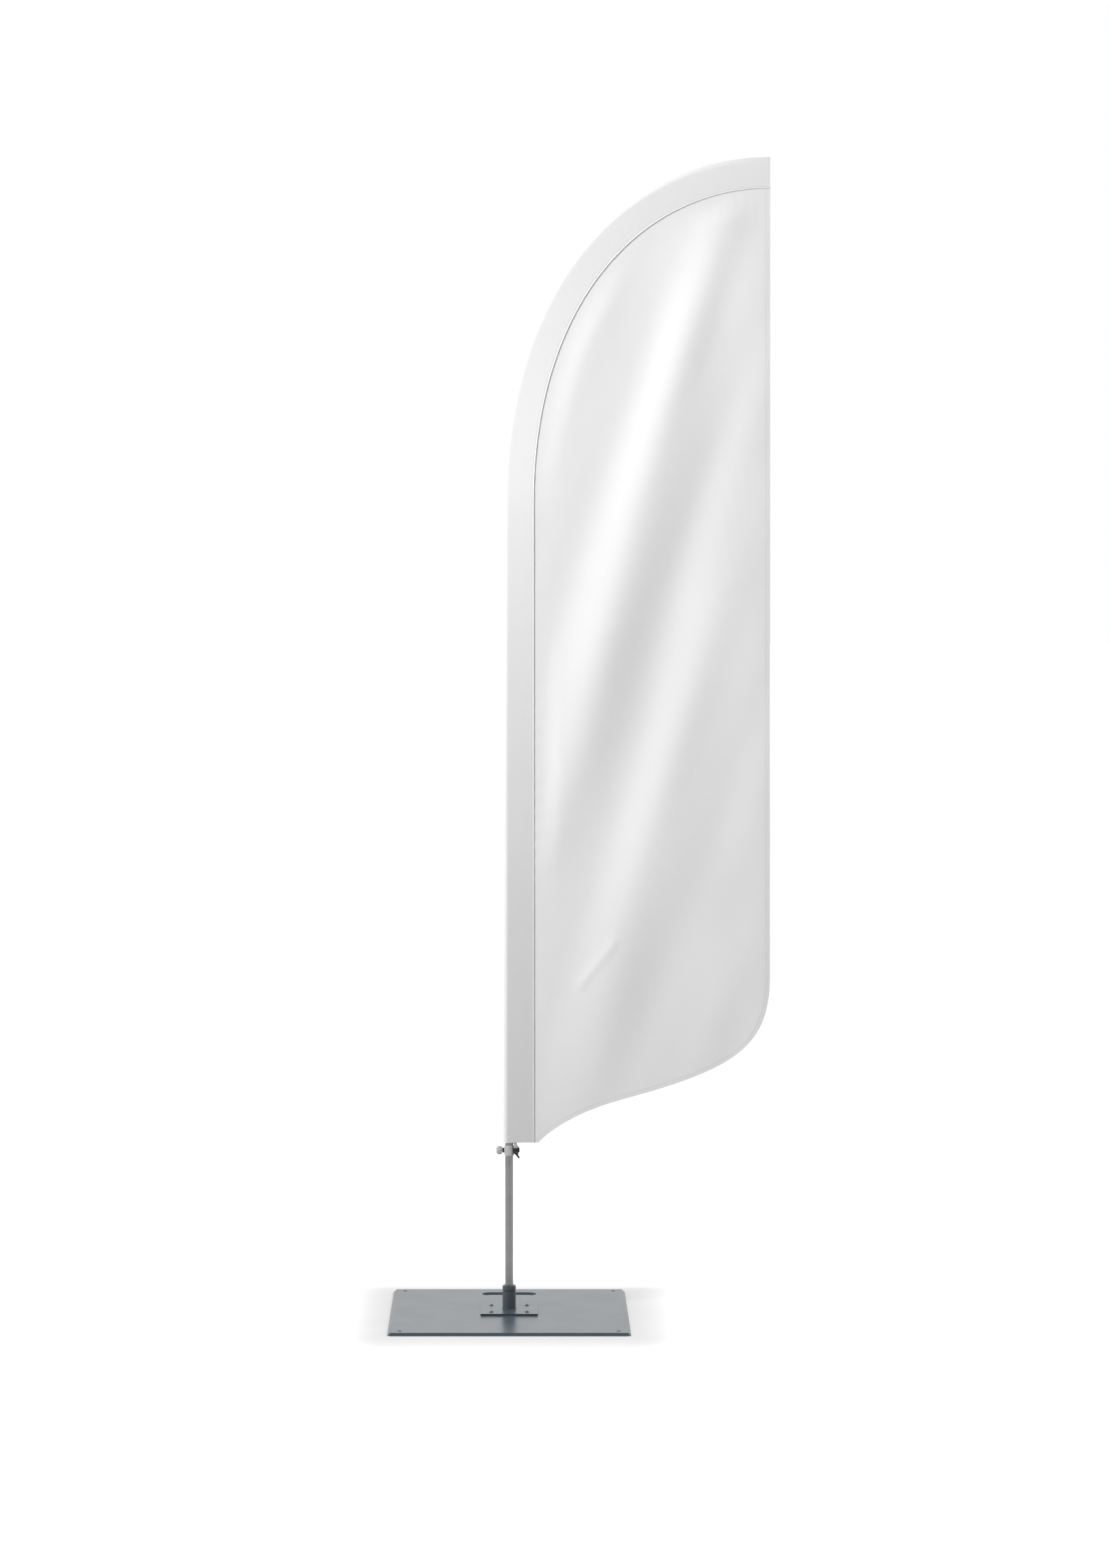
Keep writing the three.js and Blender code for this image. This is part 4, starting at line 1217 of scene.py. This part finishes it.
def make_collar():
    finish(tension_collar(), "collar", "light_plastic", "tension_collar")
    # The black neck sleeve paints the shade between the collar and the knob.
    finish(clamp_neck(), "collar", "black_plastic")
    finish(insert_ring(), "collar", "brass", "thread_insert")
    finish(hook_peg(), "collar", "steel", "hook_peg")
    finish(snap_hook(), "collar", "black_plastic", "tension_hook")
    finish(clamp_knob(), "clamp_screw", "light_plastic", "clamp_knob")
    band = elastic_loop()
    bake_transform(band)
    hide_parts("tension_elastic")


CARRIED = {
    "lower_bush": NYLON,
    "thrust_washer": ZINC,
    "retaining_ring": ZINC,
    "pole_foot_plug": BLACK_PLASTIC,
    "lower_ferrule": BLACK_PLASTIC,
    "pole_middle_tube": ALUMINIUM,
    "upper_ferrule": BLACK_PLASTIC,
    "pole_tip_rod": FIBREGLASS,
    "pole_tip_cap": BLACK_PLASTIC,
    "pressure_pad": BRASS,
    "clamp_stud": ZINC,
}


def dress_carried():
    """Gives every CAD node that stays its finished material."""
    for name, material in CARRIED.items():
        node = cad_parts[name]
        node.data.materials.clear()
        node.data.materials.append(material)


make_flag()
make_base()
make_collar()
dress_carried()

# -------- the stage

FLOOR_HALF = 60.0
FLOOR_GREY = (0.73, 0.73, 0.73)
PAINTED_SHADE_REACH = ((0, 1, 0.30), (0, -1, 0.26), (1, 1, 0.24), (1, -1, 0.46))  # axis, side, how far the painted shade round the plate fades out
STUDIO_WALLS = ((1, (0.1, 0.85), 1.0), (0, (-0.3, -0.95), 0.8), (0, (0.3, 0.95), 0.6))  # axis, span, power
STUDIO_DIM = 0.22  # the studio's strength on the camera's side
WHITE = (1, 1, 1)
LIGHTS = {  # place, what it is aimed at, size and power
    "key_upper_left": ((-2.5, -2.0, 3.3), (0.35, 0, 2.3), 1.1, 140),
    "fill_back_right": ((3.1, 1.2, 2.4), (0.2, 0, 1.5), 0.9, 45),
}


def make_stage():
    """A white sweep that glows for the camera away from the floor plate. The glow fades out towards the
    plate, which paints a soft shade round it; the real shadows show inside that patch.
    """
    material, n, shader, out = new_material("pale_floor")
    n.fill(shader, {"Base Color": FLOOR_GREY, "Roughness": 0.9, "Specular IOR Level": 0.1})
    parts = n.parts(n.place())
    gaps = []
    for part, way, reach in PAINTED_SHADE_REACH:
        past = n.math("SUBTRACT", n.math("MULTIPLY", parts[part], way), PLATE_HIGH.x)
        gaps.append(n.math("POWER", n.math("DIVIDE", n.math("MAXIMUM", past, 0.0), reach), 2.0))
    far = n.math("SQRT", n.math("ADD", n.math("ADD", gaps[0], gaps[1]), n.math("ADD", gaps[2], gaps[3])))
    # No glow at the plate and full glow past the reach: this is painted shade round the plate.
    glow = n.add("ShaderNodeEmission", {"Color": WHITE, "Strength": n.ramp(far, 0.0, 1.0)})
    both = n.add("ShaderNodeAddShader", {0: shader.outputs[0], 1: glow.outputs[0]})
    n.fill(out, {0: seen_apart(n, shader.outputs[0], both.outputs[0])})
    half = FLOOR_HALF
    corners = [(-half, -half, 0), (half, -half, 0), (half, half, 0), (-half, half, 0)]
    mesh_from("floor", corners, [(0, 1, 2, 3)], material)


def seen_apart(n, lighting, seen):
    """One shader for what the camera sees directly, and another for all other light."""
    direct = n.add("ShaderNodeLightPath").outputs["Is Camera Ray"]
    return n.add("ShaderNodeMixShader", {0: direct, 1: lighting, 2: seen}).outputs[0]


def make_world():
    """A white studio: bright behind the flag, softer at its sides and dim on the camera's side."""
    world = bpy.data.worlds.new("studio")
    world.use_nodes = True
    world.node_tree.nodes.clear()
    n = Nodes(world.node_tree)
    way = n.parts(n.add("ShaderNodeTexCoord").outputs["Generated"])
    walls = [n.math("MULTIPLY", n.ramp(way[axis], *span), power) for axis, span, power in STUDIO_WALLS]
    brightest = n.math("MAXIMUM", walls[0], n.math("MAXIMUM", walls[1], walls[2]))
    strength = n.math("ADD", brightest, STUDIO_DIM)
    seen = n.add("ShaderNodeBackground", {"Color": WHITE, "Strength": 1.0})
    lighting = n.add("ShaderNodeBackground", {"Color": WHITE, "Strength": strength})
    n.add("ShaderNodeOutputWorld", {0: seen_apart(n, lighting.outputs[0], seen.outputs[0])})
    bpy.context.scene.world = world


def make_lights():
    for name, (place, aim, size, power) in LIGHTS.items():
        data = bpy.data.lights.new(name, "AREA")
        data.shape = "RECTANGLE"
        data.size = size
        data.size_y = size
        data.energy = power
        lamp = link(data, name)
        lamp.location = place
        lamp.rotation_euler = (Vector(aim) - Vector(place)).to_track_quat("-Z", "Y").to_euler()
        lamp.visible_glossy = False


make_stage()
make_world()
make_lights()

scene = bpy.context.scene
scene.view_settings.view_transform = "Standard"
scene.view_settings.look = "None"
scene.view_settings.exposure = 0
scene.view_settings.gamma = 1
